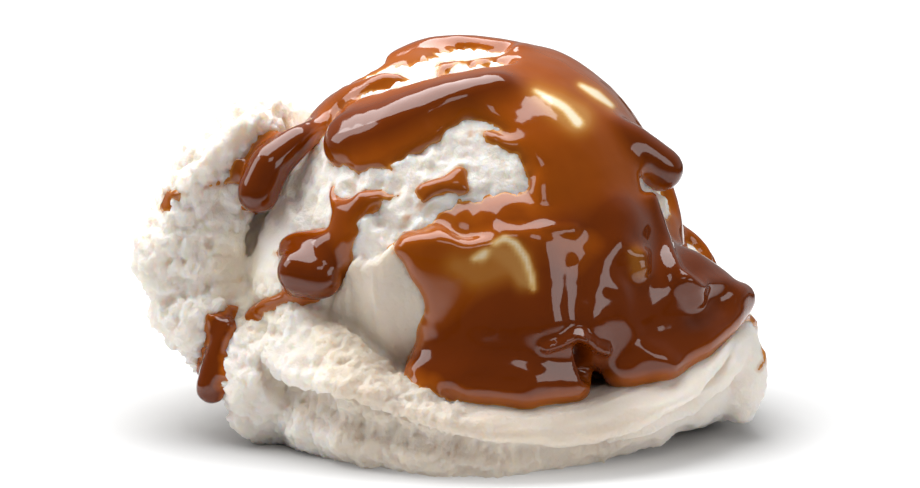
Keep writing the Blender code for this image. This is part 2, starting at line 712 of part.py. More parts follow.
def copy_moved(item, name, points):
    """A copy of an object with its vertices at other places."""
    mesh = item.data.copy()
    made = bpy.data.objects.new(name, mesh)
    bpy.context.scene.collection.objects.link(made)
    set_points(mesh, points)
    return made


def loose_pieces(item):
    """The object's separate bodies as lists of face indices."""
    bm = bmesh.new()
    bm.from_mesh(item.data)
    bm.faces.ensure_lookup_table()
    left = set(bm.faces)
    pieces = []
    while left:
        piece = [left.pop()]
        for face in piece:
            for vert in face.verts:
                fresh = [other for other in vert.link_faces if other in left]
                left.difference_update(fresh)
                piece.extend(fresh)
        pieces.append([face.index for face in piece])
    bm.free()
    return pieces


def unpinch(bm):
    """Where four faces share an edge, opens the mesh round it and fills the hole again."""
    for _ in range(PINCH_ROUNDS):
        pinched = {vert for edge in bm.edges if not edge.is_manifold for vert in edge.verts}
        if not pinched:
            return
        bmesh.ops.delete(bm, geom=list(pinched), context="VERTS")
        rims = [edge for edge in bm.edges if edge.is_boundary]
        filled = bmesh.ops.holes_fill(bm, edges=rims)["faces"]
        bmesh.ops.triangulate(bm, faces=filled)


def piece_object(item, faces, name):
    """One body of an object, as an object of its own, and its volume."""
    keep = set(faces)
    bm = bmesh.new()
    bm.from_mesh(item.data)
    bm.faces.ensure_lookup_table()
    others = [face for face in bm.faces if face.index not in keep]
    bmesh.ops.delete(bm, geom=others, context="FACES")
    bmesh.ops.triangulate(bm, faces=bm.faces)
    unpinch(bm)
    volume = bm.calc_volume()
    return object_from(bm, name), volume


def split_sauce(sauce):
    """Names the pieces of sauce and drops the scraps."""
    found = []
    for faces in loose_pieces(sauce):
        piece, volume = piece_object(sauce, faces, "scrap")
        if volume < SMALLEST_PIECE:
            bpy.data.objects.remove(piece)
        else:
            found.append(piece)
    named = []
    for name, near in SAUCE_PIECES.items():
        reach = [np.min(np.linalg.norm(points_of(piece.data) - near, axis=1)) for piece in found]
        piece = found.pop(int(np.argmin(reach)))
        piece.name = name
        named.append(piece)
    for piece in found:
        bpy.data.objects.remove(piece)
    bpy.data.objects.remove(sauce)
    return named


def cut_away(item, cutter):
    """Takes the cutter out of an object."""
    cut = item.modifiers.new("cut", "BOOLEAN")
    cut.operation = "DIFFERENCE"
    cut.solver = "EXACT"
    cut.object = cutter
    return applied(item)


def centre_and_scale(items):
    """Puts the middle of the whole object's box over the origin and scales to metres."""
    corners = np.concatenate([points_of(item.data) for item in items])
    middle = (corners.min(axis=0) + corners.max(axis=0)) / 2
    to_origin = Matrix.Translation((-middle[0], -middle[1], 0))
    for item in items:
        item.data.transform(Matrix.Scale(METRES_PER_MM, 4) @ to_origin)


def finish(item, finish_values, collection):
    """Gives an object its material and files it."""
    colour, roughness = finish_values
    material = bpy.data.materials.new(item.name)
    material.use_nodes = True
    shader = material.node_tree.nodes["Principled BSDF"]
    shader.inputs["Base Color"].default_value = (*colour, 1)
    shader.inputs["Roughness"].default_value = roughness
    item.data.materials.clear()
    item.data.materials.append(material)
    item.data.shade_smooth()
    bpy.context.scene.collection.objects.unlink(item)
    collection.objects.link(item)


def main():
    """Builds the ice cream and its sauce."""
    for old in list(bpy.data.objects):
        bpy.data.objects.remove(old)
    collection = bpy.data.collections.new("ice cream sundae")
    bpy.context.scene.collection.children.link(collection)

    base = make_base_skin()
    edges = edges_of(base.data)
    smooth = relaxed(points_of(base.data), edges, BASE_ROUNDS)
    set_points(base.data, smooth)
    normals = normals_of(base.data)
    tree = BVHTree.FromPolygons(smooth.tolist(), [tuple(p.vertices) for p in base.data.polygons])
    sauce = relaxed(sauce_height(smooth, normals, tree)[:, None], edges, 1)[:, 0]
    relief = relief_height(smooth, sauce)
    outward = relaxed(normals, edges, 2)
    outward /= np.linalg.norm(outward, axis=1)[:, None]

    ice_cream = copy_moved(base, "ice_cream", smooth + outward * relief[:, None])
    valley = relaxed(smooth, edges, VALLEY_ROUNDS) - smooth
    valley = np.maximum(np.sum(valley * normals, axis=1), 0)
    over = relaxed(relief[:, None], edges, 4)[:, 0] + sauce
    over += valley * ease_between(-0.5, 1.0, sauce)
    skin = copy_moved(base, "sauce", smooth + outward * over[:, None])
    bpy.data.objects.remove(base)
    drops = [make_drop(name, stops) for name, stops in DROPS.items()]
    skin = joined_skin([skin] + drops, "sauce")
    set_points(skin.data, relaxed(points_of(skin.data), edges_of(skin.data), SAUCE_ROUNDS))
    fill_creases(skin)

    thinned_to(ice_cream, ICE_CREAM_TRIANGLES)
    flat_bottomed(ice_cream)
    thinned_to(skin, SAUCE_SKIN_TRIANGLES)
    ice_points = points_of(ice_cream.data)
    grown = copy_moved(ice_cream, "grown_ice_cream", ice_points + normals_of(ice_cream.data) * GAP)
    for vert in grown.data.vertices:
        if vert.co.z < GAP:
            vert.co.z = -2 * SINK
    cut_away(skin, grown)
    bpy.data.objects.remove(grown)

    sauces = split_sauce(skin)
    centre_and_scale([ice_cream] + sauces)
    finish(ice_cream, ICE_CREAM_FINISH, collection)
    for piece in sauces:
        finish(piece, CARAMEL_FINISH, collection)


main()
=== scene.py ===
"""Looks of the ice cream sundae: torn vanilla ice cream under wet, poured caramel.

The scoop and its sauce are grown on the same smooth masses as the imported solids, so each
piece stays where its solid is. Lengths are millimetres in the scoop's own frame until a
mesh is made, which scales it to metres and sets it over the frame's origin.
"""
import logging
import math
from dataclasses import dataclass
from dataclasses import field
from enum import Enum
from typing import Callable

import bmesh
import bpy
import numpy as np
from mathutils import Matrix
from mathutils import Vector
from mathutils.bvhtree import BVHTree


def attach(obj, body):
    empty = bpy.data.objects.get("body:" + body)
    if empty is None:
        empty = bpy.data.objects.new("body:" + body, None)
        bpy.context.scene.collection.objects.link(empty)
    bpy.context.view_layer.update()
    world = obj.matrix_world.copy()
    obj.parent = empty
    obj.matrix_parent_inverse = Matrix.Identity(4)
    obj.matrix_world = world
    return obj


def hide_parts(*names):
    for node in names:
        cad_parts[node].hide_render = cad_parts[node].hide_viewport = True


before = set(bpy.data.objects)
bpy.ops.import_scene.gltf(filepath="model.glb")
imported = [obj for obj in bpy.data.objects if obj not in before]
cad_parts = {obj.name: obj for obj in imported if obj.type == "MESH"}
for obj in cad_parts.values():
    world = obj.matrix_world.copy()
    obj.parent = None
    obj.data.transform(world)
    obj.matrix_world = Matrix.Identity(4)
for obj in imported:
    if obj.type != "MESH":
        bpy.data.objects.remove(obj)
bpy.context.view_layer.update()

LOG = logging.getLogger("sundae")
METRES_PER_MM = 0.001
# Middle of the solids' box in the scoop's own frame
MIDDLE = (-0.558, 0.357)
BODY = "root"
# Larger than any distance here, and smaller than any length
FAR = 1e9
TINY = 1e-9
# Pixel places that part the poured sauce from the bead, and the bead from the drip
POUR_RIGHT_OF = 400
POUR_ABOVE = 175
DRIP_LEFT_OF = 240

Array = np.ndarray
Colour = tuple[float, float, float]
Stop = tuple[float, ...]


class Slot(Enum):
    """The record's material slots."""

    ICE_CREAM = "ice_cream"
    CARAMEL = "caramel"


class SaucePiece(Enum):
    """The pieces that the sauce is shared out in, by their objects' names."""

    POUR = "poured_caramel"
    BEAD = "caramel_bead"
    DRIP = "hanging_drip"
    SMEARS = "caramel_smears"

    @classmethod
    def at(cls, middle: Array, pixel: Array, large: bool) -> "SaucePiece":
        """The piece that a face of the sauce belongs to.

        Args:
            middle: The middle of the face's island in the photograph, in pixels.
            pixel: The face's own place there.
            large: Whether the island is more than a smear.

        Returns:
            The piece.
        """
        if not large:
            return cls.SMEARS
        if middle[0] > POUR_RIGHT_OF or middle[1] < POUR_ABOVE:
            return cls.POUR
        return cls.DRIP if pixel[0] < DRIP_LEFT_OF else cls.BEAD

    def depth(self) -> float:
        """How many times deeper the piece is than its height over the ice cream."""
        return {"caramel_bead": 1.5, "hanging_drip": 2.4}.get(self.value, 1.0)

    def solids(self) -> list[str]:
        """The solids that the piece stands for."""
        return {"poured_caramel": ["caramel_pour"], "caramel_bead": ["caramel_bulb"],
                "hanging_drip": ["caramel_drip"]}.get(self.value, [])


class Noise:
    """Seeded gradient and cell noise that works on whole arrays of points."""

    gain: float = 1.6
    # An octave's size against the last one's, the shift between them, and its strength
    octave_rule: tuple[float, float, float] = (2.03, 17.3, 0.5)
    ridge_rule: tuple[float, float, float] = (2.07, 9.1, 0.5)
    ridge_sum: float = 1.75
    ridge_middle: float = 0.6
    too_far: float = 9.0
    dome_radius: float = 0.85
    dome_middle: float = 0.55

    def __init__(self, seed: int) -> None:
        """Draws the hash table, the gradients and the cell points.

        Args:
            seed: Starts the random draws, so that every run is the same.
        """
        draw = np.random.default_rng(seed)
        self.table = np.tile(draw.permutation(256), 3)
        slopes = draw.normal(size=(256, 3))
        self.slopes = slopes / np.linalg.norm(slopes, axis=1)[:, None]
        self.jitter = draw.random((256, 3))

    def hashed(self, cell: Array) -> Array:
        """Gives each whole-number cell a repeatable number from 0 to 255."""
        inner = self.table[cell[:, 0] & 255] + (cell[:, 1] & 255)
        return self.table[self.table[inner] + (cell[:, 2] & 255)]

    def smooth(self, points: Array) -> Array:
        """Gradient noise, about -1 to 1, for an array of points."""
        cell = np.floor(points).astype(int)
        local = points - cell
        ease = local ** 3 * (local * (local * 6 - 15) + 10)
        total = np.zeros(len(points))
        for corner in np.ndindex(2, 2, 2):
            slope = self.slopes[self.hashed(cell + corner)]
            weight = np.prod(np.where(corner, ease, 1 - ease), axis=1)
            total += weight * np.sum(slope * (local - corner), axis=1)
        return total * self.gain

    def layered(self, points: Array, octaves: int) -> Array:
        """Gradient noise in octaves, each half as strong as the last."""
        finer, shift, weaker = self.octave_rule
        total = np.zeros(len(points))
        for octave in range(octaves):
            total += self.smooth(points * finer ** octave + shift * octave) * weaker ** octave
        return total

    def ridged(self, points: Array, octaves: int) -> Array:
        """Noise with sharp crests, about -0.6 to 0.4."""
        finer, shift, weaker = self.ridge_rule
        total = np.zeros(len(points))
        for octave in range(octaves):
            crest = 1 - np.abs(self.smooth(points * finer ** octave + shift * octave))
            total += crest ** 2 * weaker ** octave
        return total / self.ridge_sum - self.ridge_middle

    def cells(self, points: Array) -> Array:
        """Distance to the nearest of the points scattered one to a cell."""
        cell = np.floor(points).astype(int)
        nearest = np.full(len(points), self.too_far)
        for corner in np.ndindex(3, 3, 3):
            beside = cell + np.array(corner) - 1
            centre = beside + self.jitter[self.hashed(beside)]
            nearest = np.minimum(nearest, np.linalg.norm(points - centre, axis=1))
        return nearest

    def domes(self, points: Array) -> Array:
        """Rounded crumbs, one to a cell, about -0.5 to 0.5."""
        dome = np.clip(1 - (self.cells(points) / self.dome_radius) ** 2, 0, 1)
        return np.sqrt(dome) - self.dome_middle


NOISE = Noise(11)


@dataclass(frozen=True)
class Grain:
    """A layer of noise: its size in the points' unit, its shift, strength and octaves."""

    size: float | Stop
    shift: float | Stop
    strength: float = 1.0
    octaves: int = 1

    def at(self, points: Array) -> Array:
        """The points on the noise's own scale."""
        return points / np.array(self.size) + np.array(self.shift)

    def smooth(self, points: Array) -> Array:
        """Rolling noise."""
        return self.strength * NOISE.smooth(self.at(points))

    def layered(self, points: Array) -> Array:
        """Rolling noise in octaves."""
        return self.strength * NOISE.layered(self.at(points), self.octaves)

    def ridged(self, points: Array) -> Array:
        """Sharp crests in octaves."""
        return self.strength * NOISE.ridged(self.at(points), self.octaves)

    def domes(self, points: Array) -> Array:
        """Rounded crumbs."""
        return self.strength * NOISE.domes(self.at(points))

    def cells(self, points: Array) -> Array:
        """Distance to the nearest scattered point, as a share of a cell."""
        return NOISE.cells(self.at(points))

    def bent(self, points: Array) -> Array:
        """The points moved about by the noise."""
        draws = [NOISE.smooth(points / self.size + k * self.shift) for k in range(3)]
        return points + np.stack(draws, axis=1) * self.strength


def ease_between(low: float, high: float, value: Array) -> Array:
    """A smooth step from 0 at low to 1 at high."""
    t = np.clip((value - low) / (high - low), 0, 1)
    return t * t * (3 - 2 * t)


def distance_to_line(points: Array, line: Array, radii: Array) -> Array:
    """Distance from each point to a chain of tapered rods, less than 0 inside.

    Args:
        points: The places to measure from.
        line: The chain's stops.
        radii: The rods' radius at each stop.

    Returns:
        One distance for each point, in mm.
    """
    nearest = np.full(len(points), FAR)
    for start, end, first, last in zip(line[:-1], line[1:], radii[:-1], radii[1:]):
        along = end - start
        t = np.clip((points - start) @ along / max(along @ along, TINY), 0, 1)
        gap = np.linalg.norm(points - start - t[:, None] * along, axis=1)
        nearest = np.minimum(nearest, gap - first - (last - first) * t)
    return nearest


def blended_max(a: Array, b: Array, width: float) -> Array:
    """The larger of two heights, with a rounded valley where they meet."""
    t = np.clip(0.5 + 0.5 * (a - b) / width, 0, 1)
    return b * (1 - t) + a * t + width * t * (1 - t)


def object_from(bm: bmesh.types.BMesh, name: str) -> bpy.types.Object:
    """Moves a bmesh into a new object of the scene."""
    mesh = bpy.data.meshes.new(name)
    bm.to_mesh(mesh)
    bm.free()
    made = bpy.data.objects.new(name, mesh)
    bpy.context.scene.collection.objects.link(made)
    return made


def reshape(bm: bmesh.types.BMesh, rule: Callable[[Array], Array]) -> None:
    """Moves every vertex by a rule that takes and returns an array of points."""
    moved = rule(np.array([vert.co for vert in bm.verts]))
    for vert, place in zip(bm.verts, moved):
        vert.co = place


def applied(item: bpy.types.Object) -> bpy.types.Object:
    """Applies an object's modifiers and returns the object."""
    graph = bpy.context.evaluated_depsgraph_get()
    mesh = bpy.data.meshes.new_from_object(item.evaluated_get(graph))
    old = item.data
    item.modifiers.clear()
    item.data = mesh
    bpy.data.meshes.remove(old)
    return item


def one_skin(parts: list[bpy.types.Object], name: str, voxel: float) -> bpy.types.Object:
    """Joins closed parts and remeshes them into one skin.

    Args:
        parts: Closed objects that overlap. They are removed.
        name: The skin's name.
        voxel: Size of the skin's faces.

    Returns:
        The skin.
    """
    bm = bmesh.new()
    for piece in parts:
        bm.from_mesh(piece.data)
        bpy.data.objects.remove(piece)
    skin = object_from(bm, name)
    remesh = skin.modifiers.new("one skin", "REMESH")
    remesh.mode = "VOXEL"
    remesh.voxel_size = voxel
    return applied(skin)


def points_of(mesh: bpy.types.Mesh) -> Array:
    """The mesh's vertices as an array."""
    flat = np.empty(len(mesh.vertices) * 3)
    mesh.vertices.foreach_get("co", flat)
    return flat.reshape(-1, 3)


def set_points(mesh: bpy.types.Mesh, points: Array) -> None:
    """Moves the mesh's vertices."""
    mesh.vertices.foreach_set("co", np.ascontiguousarray(points).ravel())
    mesh.update()


def normals_of(mesh: bpy.types.Mesh) -> Array:
    """The mesh's vertex normals as an array."""
    flat = np.empty(len(mesh.vertices) * 3, np.float32)
    mesh.vertex_normals.foreach_get("vector", flat)
    return flat.reshape(-1, 3).astype(float)


def edges_of(mesh: bpy.types.Mesh) -> Array:
    """The mesh's edges as an array of vertex pairs."""
    flat = np.empty(len(mesh.edges) * 2, np.int64)
    mesh.edges.foreach_get("vertices", flat)
    return flat.reshape(-1, 2)


def tree_of(mesh: bpy.types.Mesh) -> BVHTree:
    """A tree of the mesh's faces, for finding places on it."""
    faces = [tuple(face.vertices) for face in mesh.polygons]
    return BVHTree.FromPolygons(points_of(mesh).tolist(), faces)


def relaxed(values: Array, edges: Array, rounds: int) -> Array:
    """Values averaged with their neighbours, half-way each round.

    Args:
        values: One number or one row for each vertex.
        edges: Vertex pairs.
        rounds: How often the values are averaged.

    Returns:
        The averaged values, in the same shape.
    """
    flat = values.reshape(len(values), -1)
    count = len(flat)
    degree = np.maximum(np.bincount(edges.ravel(), minlength=count), 1)
    for _ in range(rounds):
        mean = np.empty_like(flat)
        for k in range(flat.shape[1]):
            ahead = np.bincount(edges[:, 0], flat[edges[:, 1], k], count)
            behind = np.bincount(edges[:, 1], flat[edges[:, 0], k], count)
            mean[:, k] = (ahead + behind) / degree
        flat = (flat + mean) / 2
    return flat.reshape(values.shape)


def columns(*values: Array | float) -> Array:
    """Points from their coordinates, of which some may be one number for all."""
    return np.stack(np.broadcast_arrays(*values), axis=1).astype(float)


def filled_in(stops: Array, count: int) -> Array:
    """A line of stops with others in between, evenly spread over the stops."""
    steps = np.linspace(0, len(stops) - 1, count)
    return columns(*(np.interp(steps, np.arange(len(stops)), column) for column in stops.T))


def arc_round(points: Array, centre: Stop, radius: float) -> Array:
    """How far round an upright axis points lie, in mm on a circle of the radius."""
    return np.arctan2(points[:, 1] - centre[1], points[:, 0] - centre[0]) * radius


def unit_rows(rows: Array) -> Array:
    """Each row scaled to a length of 1."""
    return rows / np.maximum(np.linalg.norm(rows, axis=1), TINY)[:, None]


def set_attribute(mesh: bpy.types.Mesh, name: str, values: Array) -> None:
    """Stores one number for each vertex."""
    layer = mesh.attributes.new(name, "FLOAT", "POINT")
    layer.data.foreach_set("value", values.astype(np.float32))


@dataclass(frozen=True)
class Photograph:
    """How the photograph sees the scoop."""

    pixels_per_mm: float = 6.29
    origin_pixel: tuple[float, float] = (453.0, 427.0)
    tilt: float = math.radians(11.0)
    distance: float = 800.0
    target: tuple[float, float, float] = (1.1, 0.0, 29.6)
    half_width_pixels: float = 460.0
    steepest_seen: float = 0.05
    clearance: float = 1.2

    def ahead(self) -> Vector:
        """The direction that the camera looks along."""
        return Vector((0, math.cos(self.tilt), -math.sin(self.tilt)))

    def up(self) -> Vector:
        """The direction that is up in the view."""
        return Vector((0, math.sin(self.tilt), math.cos(self.tilt)))

    def eye(self) -> Vector:
        """The camera's place."""
        return Vector(self.target) - self.ahead() * self.distance

    def pixels_of(self, points: Array) -> Array:
        """Where points show in the photograph.

        Args:
            points: Places in mm.

        Returns:
            One pixel place for each point.
        """
        eye = np.array(self.eye())
        up = np.array(self.up())
        ahead = np.array(self.ahead())
        reach = points - eye
        stretch = (-eye @ ahead) / (reach @ ahead)
        across = eye[0] + reach[:, 0] * stretch
        height = eye @ up + (reach @ up) * stretch
        x = self.origin_pixel[0] + across * self.pixels_per_mm
        y = self.origin_pixel[1] - height * self.pixels_per_mm
        return np.stack([x, y], axis=1)

    def seen_point(self, tree: BVHTree, x: float, y: float) -> Vector:
        """The point of a surface that the photograph shows at a pixel."""
        across = (x - self.origin_pixel[0]) / self.pixels_per_mm
        height = (self.origin_pixel[1] - y) / self.pixels_per_mm
        on_plane = Vector((across, 0, 0)) + self.up() * height
        eye = self.eye()
        hit = tree.ray_cast(eye, (on_plane - eye).normalized())[0]
        return hit or tree.find_nearest(on_plane)[0]

    def distance_to_outline(self, pixels: Array, outline: list[Stop]) -> Array:
        """Distance from pixel places to a closed outline.

        Args:
            pixels: The places.
            outline: The outline's corners, in pixels.

        Returns:
            One distance in mm for each place, less than 0 inside.
        """
        corners = np.array(outline, float)
        nearest = np.full(len(pixels), FAR)
        inside = np.zeros(len(pixels), bool)
        for start, end in zip(corners, np.roll(corners, -1, axis=0)):
            along = end - start
            t = np.clip((pixels - start) @ along / (along @ along), 0, 1)
            gap = np.linalg.norm(pixels - start - t[:, None] * along, axis=1)
            nearest = np.minimum(nearest, gap)
            crosses = (pixels[:, 1] < start[1]) != (pixels[:, 1] < end[1])
            rise = along[1] if along[1] else 1.0
            at = start[0] + (pixels[:, 1] - start[1]) * along[0] / rise
            inside ^= crosses & (pixels[:, 0] < at)
        return np.where(inside, -nearest, nearest) / self.pixels_per_mm

    def in_sight(self, points: Array, normals: Array, tree: BVHTree) -> Array:
        """Finds the points that face the camera with nothing in front of them.

        Args:
            points: Places on a surface.
            normals: The surface's directions there.
            tree: The surface.

        Returns:
            True or False for each point.
        """
        eye = self.eye()
        toward = unit_rows(np.array(eye) - points)
        facing = np.sum(normals * toward, axis=1) > self.steepest_seen
        for k in np.flatnonzero(facing):
            start = Vector(points[k] + normals[k] * self.clearance)
            if tree.ray_cast(start, (eye - start).normalized())[0] is not None:
                facing[k] = False
        return facing


PHOTOGRAPH = Photograph()


def around(azimuth: Array, stations: list[Stop], column: int) -> Array:
    """A smooth periodic curve through one column of stations.

    Args:
        azimuth: Angles in degrees.
        stations: Rows that start with their angle.
        column: Which value of the rows the curve follows.

    Returns:
        The curve's value at each angle.
    """
    ordered = np.array(sorted(stations), float)
    angle = np.concatenate([ordered[-2:, 0] - 360, ordered[:, 0], ordered[:2, 0] + 360])
    value = np.concatenate([ordered[-2:, column], ordered[:, column], ordered[:2, column]])
    at = np.mod(azimuth, 360.0)
    i = np.clip(np.searchsorted(angle, at, side="right") - 1, 1, len(angle) - 3)
    span = angle[i + 1] - angle[i]
    t = (at - angle[i]) / span
    slope_in = (value[i + 1] - value[i - 1]) / (angle[i + 1] - angle[i - 1]) * span
    slope_out = (value[i + 2] - value[i]) / (angle[i + 2] - angle[i]) * span
    start = (2 * t ** 3 - 3 * t ** 2 + 1) * value[i] + (t ** 3 - 2 * t ** 2 + t) * slope_in
    end = (3 * t ** 2 - 2 * t ** 3) * value[i + 1] + (t ** 3 - t ** 2) * slope_out
    return start + end


@dataclass
class ScoopForm:
    """The scoop's smooth masses, the same as the solids'."""

    ball_centre: tuple[float, float, float] = (3.3, 1.0, 29.6)
    ball_radii: tuple[float, float, float] = (31.4, 31.0, 30.8)
    ball_wobble: Grain = Grain(1 / 1.3, 5.0, 0.9, 2)
    ball_fineness: int = 5
    ring_axis: tuple[float, float] = (5.2, 1.0)
    ring_outward: Grain = Grain(1 / 3, 3.1, 0.8, 2)
    ring_upward: Grain = Grain(1 / 3, 8.7, 0.4, 2)
    ring_path: float = 4.0
    ring_sides: int = 28
    ring_steps: int = 160
    core_radius: float = 31.0
    core_height: float = 12.0
    core_sides: int = 64
    flap_points: int = 18
    flap_rounds: int = 6
    flap_end_points: int = 7
    flap_steps: int = 30
    lump_fineness: int = 4
    # Azimuth, radius and height of the section's middle, its half width and half height
    roll_stations: list[Stop] = field(default_factory=lambda: [
        (181, 33.5, 12.5, 6.5, 6.5), (198, 34.5, 14.0, 6.5, 7.0), (214, 32.6, 16.5, 7.5, 7.6),
        (231, 32.5, 13.2, 7.5, 6.4), (249, 33.2, 9.4, 7.2, 4.8), (266, 34.0, 7.9, 6.8, 4.0),
        (288, 35.0, 7.5, 6.8, 4.1), (308, 36.0, 9.0, 6.4, 4.2), (328, 37.2, 12.2, 5.8, 4.3),
        (350, 38.2, 16.0, 5.4, 4.2), (15, 36.5, 14.6, 5.8, 5.0), (50, 34.5, 11.0, 6.5, 5.5),
        (90, 33.5, 9.0, 6.5, 5.8), (130, 33.0, 10.0, 6.5, 6.2), (160, 33.0, 11.0, 6.5, 6.5),
    ])
    foot_stations: list[Stop] = field(default_factory=lambda: [
        (181, 32.0, 8.5, 8.2, 9.5), (196, 32.0, 9.0, 8.2, 9.6), (213, 30.5, 6.4, 8.0, 7.4),
        (231, 29.5, 5.2, 8.0, 6.0), (250, 30.6, 3.8, 8.0, 4.6), (269, 30.4, 2.8, 8.0, 3.6),
        (288, 29.0, 2.8, 8.0, 3.4), (308, 28.6, 4.4, 8.0, 4.0), (328, 30.0, 7.4, 8.0, 5.6),
        (345, 32.6, 9.2, 8.4, 8.0), (355, 34.2, 9.6, 8.8, 9.0), (20, 33.5, 8.6, 8.2, 8.6),
        (60, 31.8, 7.0, 8.0, 7.4), (90, 30.5, 6.2, 8.0, 6.8), (130, 30.5, 6.8, 8.2, 7.2),
        (160, 31.5, 8.0, 8.2, 8.4),
    ])
    # Radius, height and half thickness of the flap's C-shaped section
    flap_section: list[Stop] = field(default_factory=lambda: [
        (37.5, 10.5, 5.0), (42.0, 14.5, 6.0), (45.4, 20.6, 7.0), (46.9, 28.3, 8.0),
        (44.8, 35.6, 6.0), (41.2, 42.4, 5.4), (36.8, 47.2, 4.4),
    ])
    # Azimuth, radius scale and height scale of the flap's sweep
    flap_sweep: list[Stop] = field(default_factory=lambda: [
        (192, 1.00, 1.00), (178, 1.00, 1.02), (160, 0.98, 1.00), (142, 0.94, 0.92),
        (124, 0.87, 0.78), (108, 0.75, 0.60), (92, 0.60, 0.42),
    ])
    lumps: dict[str, tuple[Stop, Stop]] = field(default_factory=lambda: {
        "right bulge": ((45.6, -6.0, 10.0), (4.2, 6.0, 8.0)),
        "left block": ((-29.6, -11.5, 10.0), (6.6, 7.5, 10.0)),
        "right flare": ((31.0, 5.0, 17.0), (12.5, 13.0, 14.0)),
        "left layer": ((-20.5, -5.0, 24.0), (11.5, 15.0, 17.0)),
        "flap root": ((-29.0, 9.0, 26.0), (10.0, 9.0, 17.0)),
        "saddle": ((-31.0, -3.0, 14.0), (8.0, 10.0, 11.0)),
        "flap foot": ((-40.5, -5.0, 19.5), (6.5, 7.0, 6.5)),
        "flap middle": ((-42.4, -3.0, 28.6), (7.8, 8.0, 8.0)),
        "flap shoulder": ((-37.0, 0.0, 42.0), (6.6, 8.0, 6.6)),
        "flap tip": ((-32.4, 1.0, 47.4), (4.8, 6.5, 4.6)),
        "crevice floor": ((-31.0, 3.0, 22.0), (7.5, 9.0, 11.5)),
    })

    def about_axis(self, azimuth: Array, radius: Array, height: Array) -> Array:
        """Points round the rings' axis."""
        turn = np.radians(azimuth)
        x = self.ring_axis[0] + radius * np.cos(turn)
        y = self.ring_axis[1] + radius * np.sin(turn)
        return np.stack([x, y, height], axis=1)

    def ball(self) -> bpy.types.Object:
        """The ball that the scoop left, a little uneven."""
        bm = bmesh.new()
        bmesh.ops.create_icosphere(bm, subdivisions=self.ball_fineness, radius=1.0)

        def rule(points: Array) -> Array:
            """Swells the unit ball unevenly and puts it in place."""
            swell = self.ball_wobble.layered(points)[:, None]
            return points * (np.array(self.ball_radii) + swell) + np.array(self.ball_centre)

        reshape(bm, rule)
        return object_from(bm, "ball")

    def ring(self, name: str, stations: list[Stop]) -> bpy.types.Object:
        """A spun ring whose section follows the stations."""
        bm = bmesh.new()
        bmesh.ops.create_circle(bm, segments=self.ring_sides, radius=1.0, cap_ends=False)
        stand = Matrix.Translation((self.ring_path, 0, 0)) @ Matrix.Rotation(math.pi / 2, 4, "X")
        bmesh.ops.transform(bm, matrix=stand, verts=bm.verts)
        outline = bm.verts[:] + bm.edges[:]
        bmesh.ops.spin(bm, geom=outline, cent=(0, 0, 0), axis=(0, 0, 1), angle=2 * math.pi,
                       steps=self.ring_steps, use_merge=True)

        def rule(points: Array) -> Array:
            """Gives each angle its own section."""
            azimuth = np.degrees(np.arctan2(points[:, 1], points[:, 0]))
            across = np.hypot(points[:, 0], points[:, 1]) - self.ring_path
            section = [around(azimuth, stations, k) for k in (1, 2, 3, 4)]
            radius, height, half_width, half_height = section
            turn = np.radians(azimuth)
            seat = columns(np.cos(turn), np.sin(turn), 0.0)
            height = height + self.ring_upward.layered(seat)
            outward = radius + self.ring_outward.layered(seat) + half_width * across
            return self.about_axis(azimuth, outward, height + half_height * points[:, 2])

        reshape(bm, rule)
        bmesh.ops.recalc_face_normals(bm, faces=bm.faces)
        return object_from(bm, name)

    def core(self) -> bpy.types.Object:
        """Fills the middle down to the table."""
        bm = bmesh.new()
        bmesh.ops.create_cone(bm, cap_ends=True, segments=self.core_sides, radius1=self.core_radius,
                              radius2=self.core_radius, depth=self.core_height)
        middle = (self.ring_axis[0], self.ring_axis[1], self.core_height / 2)
        bmesh.ops.translate(bm, vec=middle, verts=bm.verts)
        return object_from(bm, "core")

    def flap_outline(self) -> list[Array]:
        """The closed outline of the flap's section, as points of radius and height."""
        line = filled_in(np.array(self.flap_section, float), self.flap_points)
        for _ in range(self.flap_rounds):
            line[1:-1] = (line[:-2] + 2 * line[1:-1] + line[2:]) / 4
        along = unit_rows(np.gradient(line[:, :2], axis=0))
        across = np.stack([along[:, 1], -along[:, 0]], axis=1)
        outer = line[:, :2] + across * line[:, 2:3]
        inner = line[:, :2] - across * line[:, 2:3]

        def round_end(k: int, facing: int) -> list[Array]:
            """A half circle round one end of the section's line."""
            side = across[k] * facing
            forward = along[k] * facing
            turns = np.linspace(0, math.pi, self.flap_end_points)[1:-1]
            return [line[k, :2] + (math.cos(turn) * side + math.sin(turn) * forward) * line[k, 2]
                    for turn in turns]

        return list(outer) + round_end(-1, 1) + list(inner[::-1]) + round_end(0, -1)

    def flap(self) -> bpy.types.Object:
        """The petal that curls up on the left: its section spun part of the way round."""
        bm = bmesh.new()
        corners = [bm.verts.new((radius, 0, height)) for radius, height in self.flap_outline()]
        face = bm.faces.new(corners)
        first, last = self.flap_sweep[0][0], self.flap_sweep[-1][0]
        to_start = Matrix.Rotation(math.radians(first), 3, "Z")
        bmesh.ops.rotate(bm, verts=bm.verts, cent=(0, 0, 0), matrix=to_start)
        swept = bm.verts[:] + bm.edges[:] + [face]
        bmesh.ops.spin(bm, geom=swept, cent=(0, 0, 0), axis=(0, 0, 1),
                       angle=math.radians(last - first), steps=self.flap_steps)
        bmesh.ops.holes_fill(bm, edges=bm.edges)
        sweep = np.array(sorted(self.flap_sweep), float)

        def rule(points: Array) -> Array:
            """Shrinks the section towards the flap's far end."""
            azimuth = np.mod(np.degrees(np.arctan2(points[:, 1], points[:, 0])), 360)
            wider = np.interp(azimuth, sweep[:, 0], sweep[:, 1])
            taller = np.interp(azimuth, sweep[:, 0], sweep[:, 2])
            radius = np.hypot(points[:, 0], points[:, 1]) * wider
            return self.about_axis(azimuth, radius, points[:, 2] * taller)

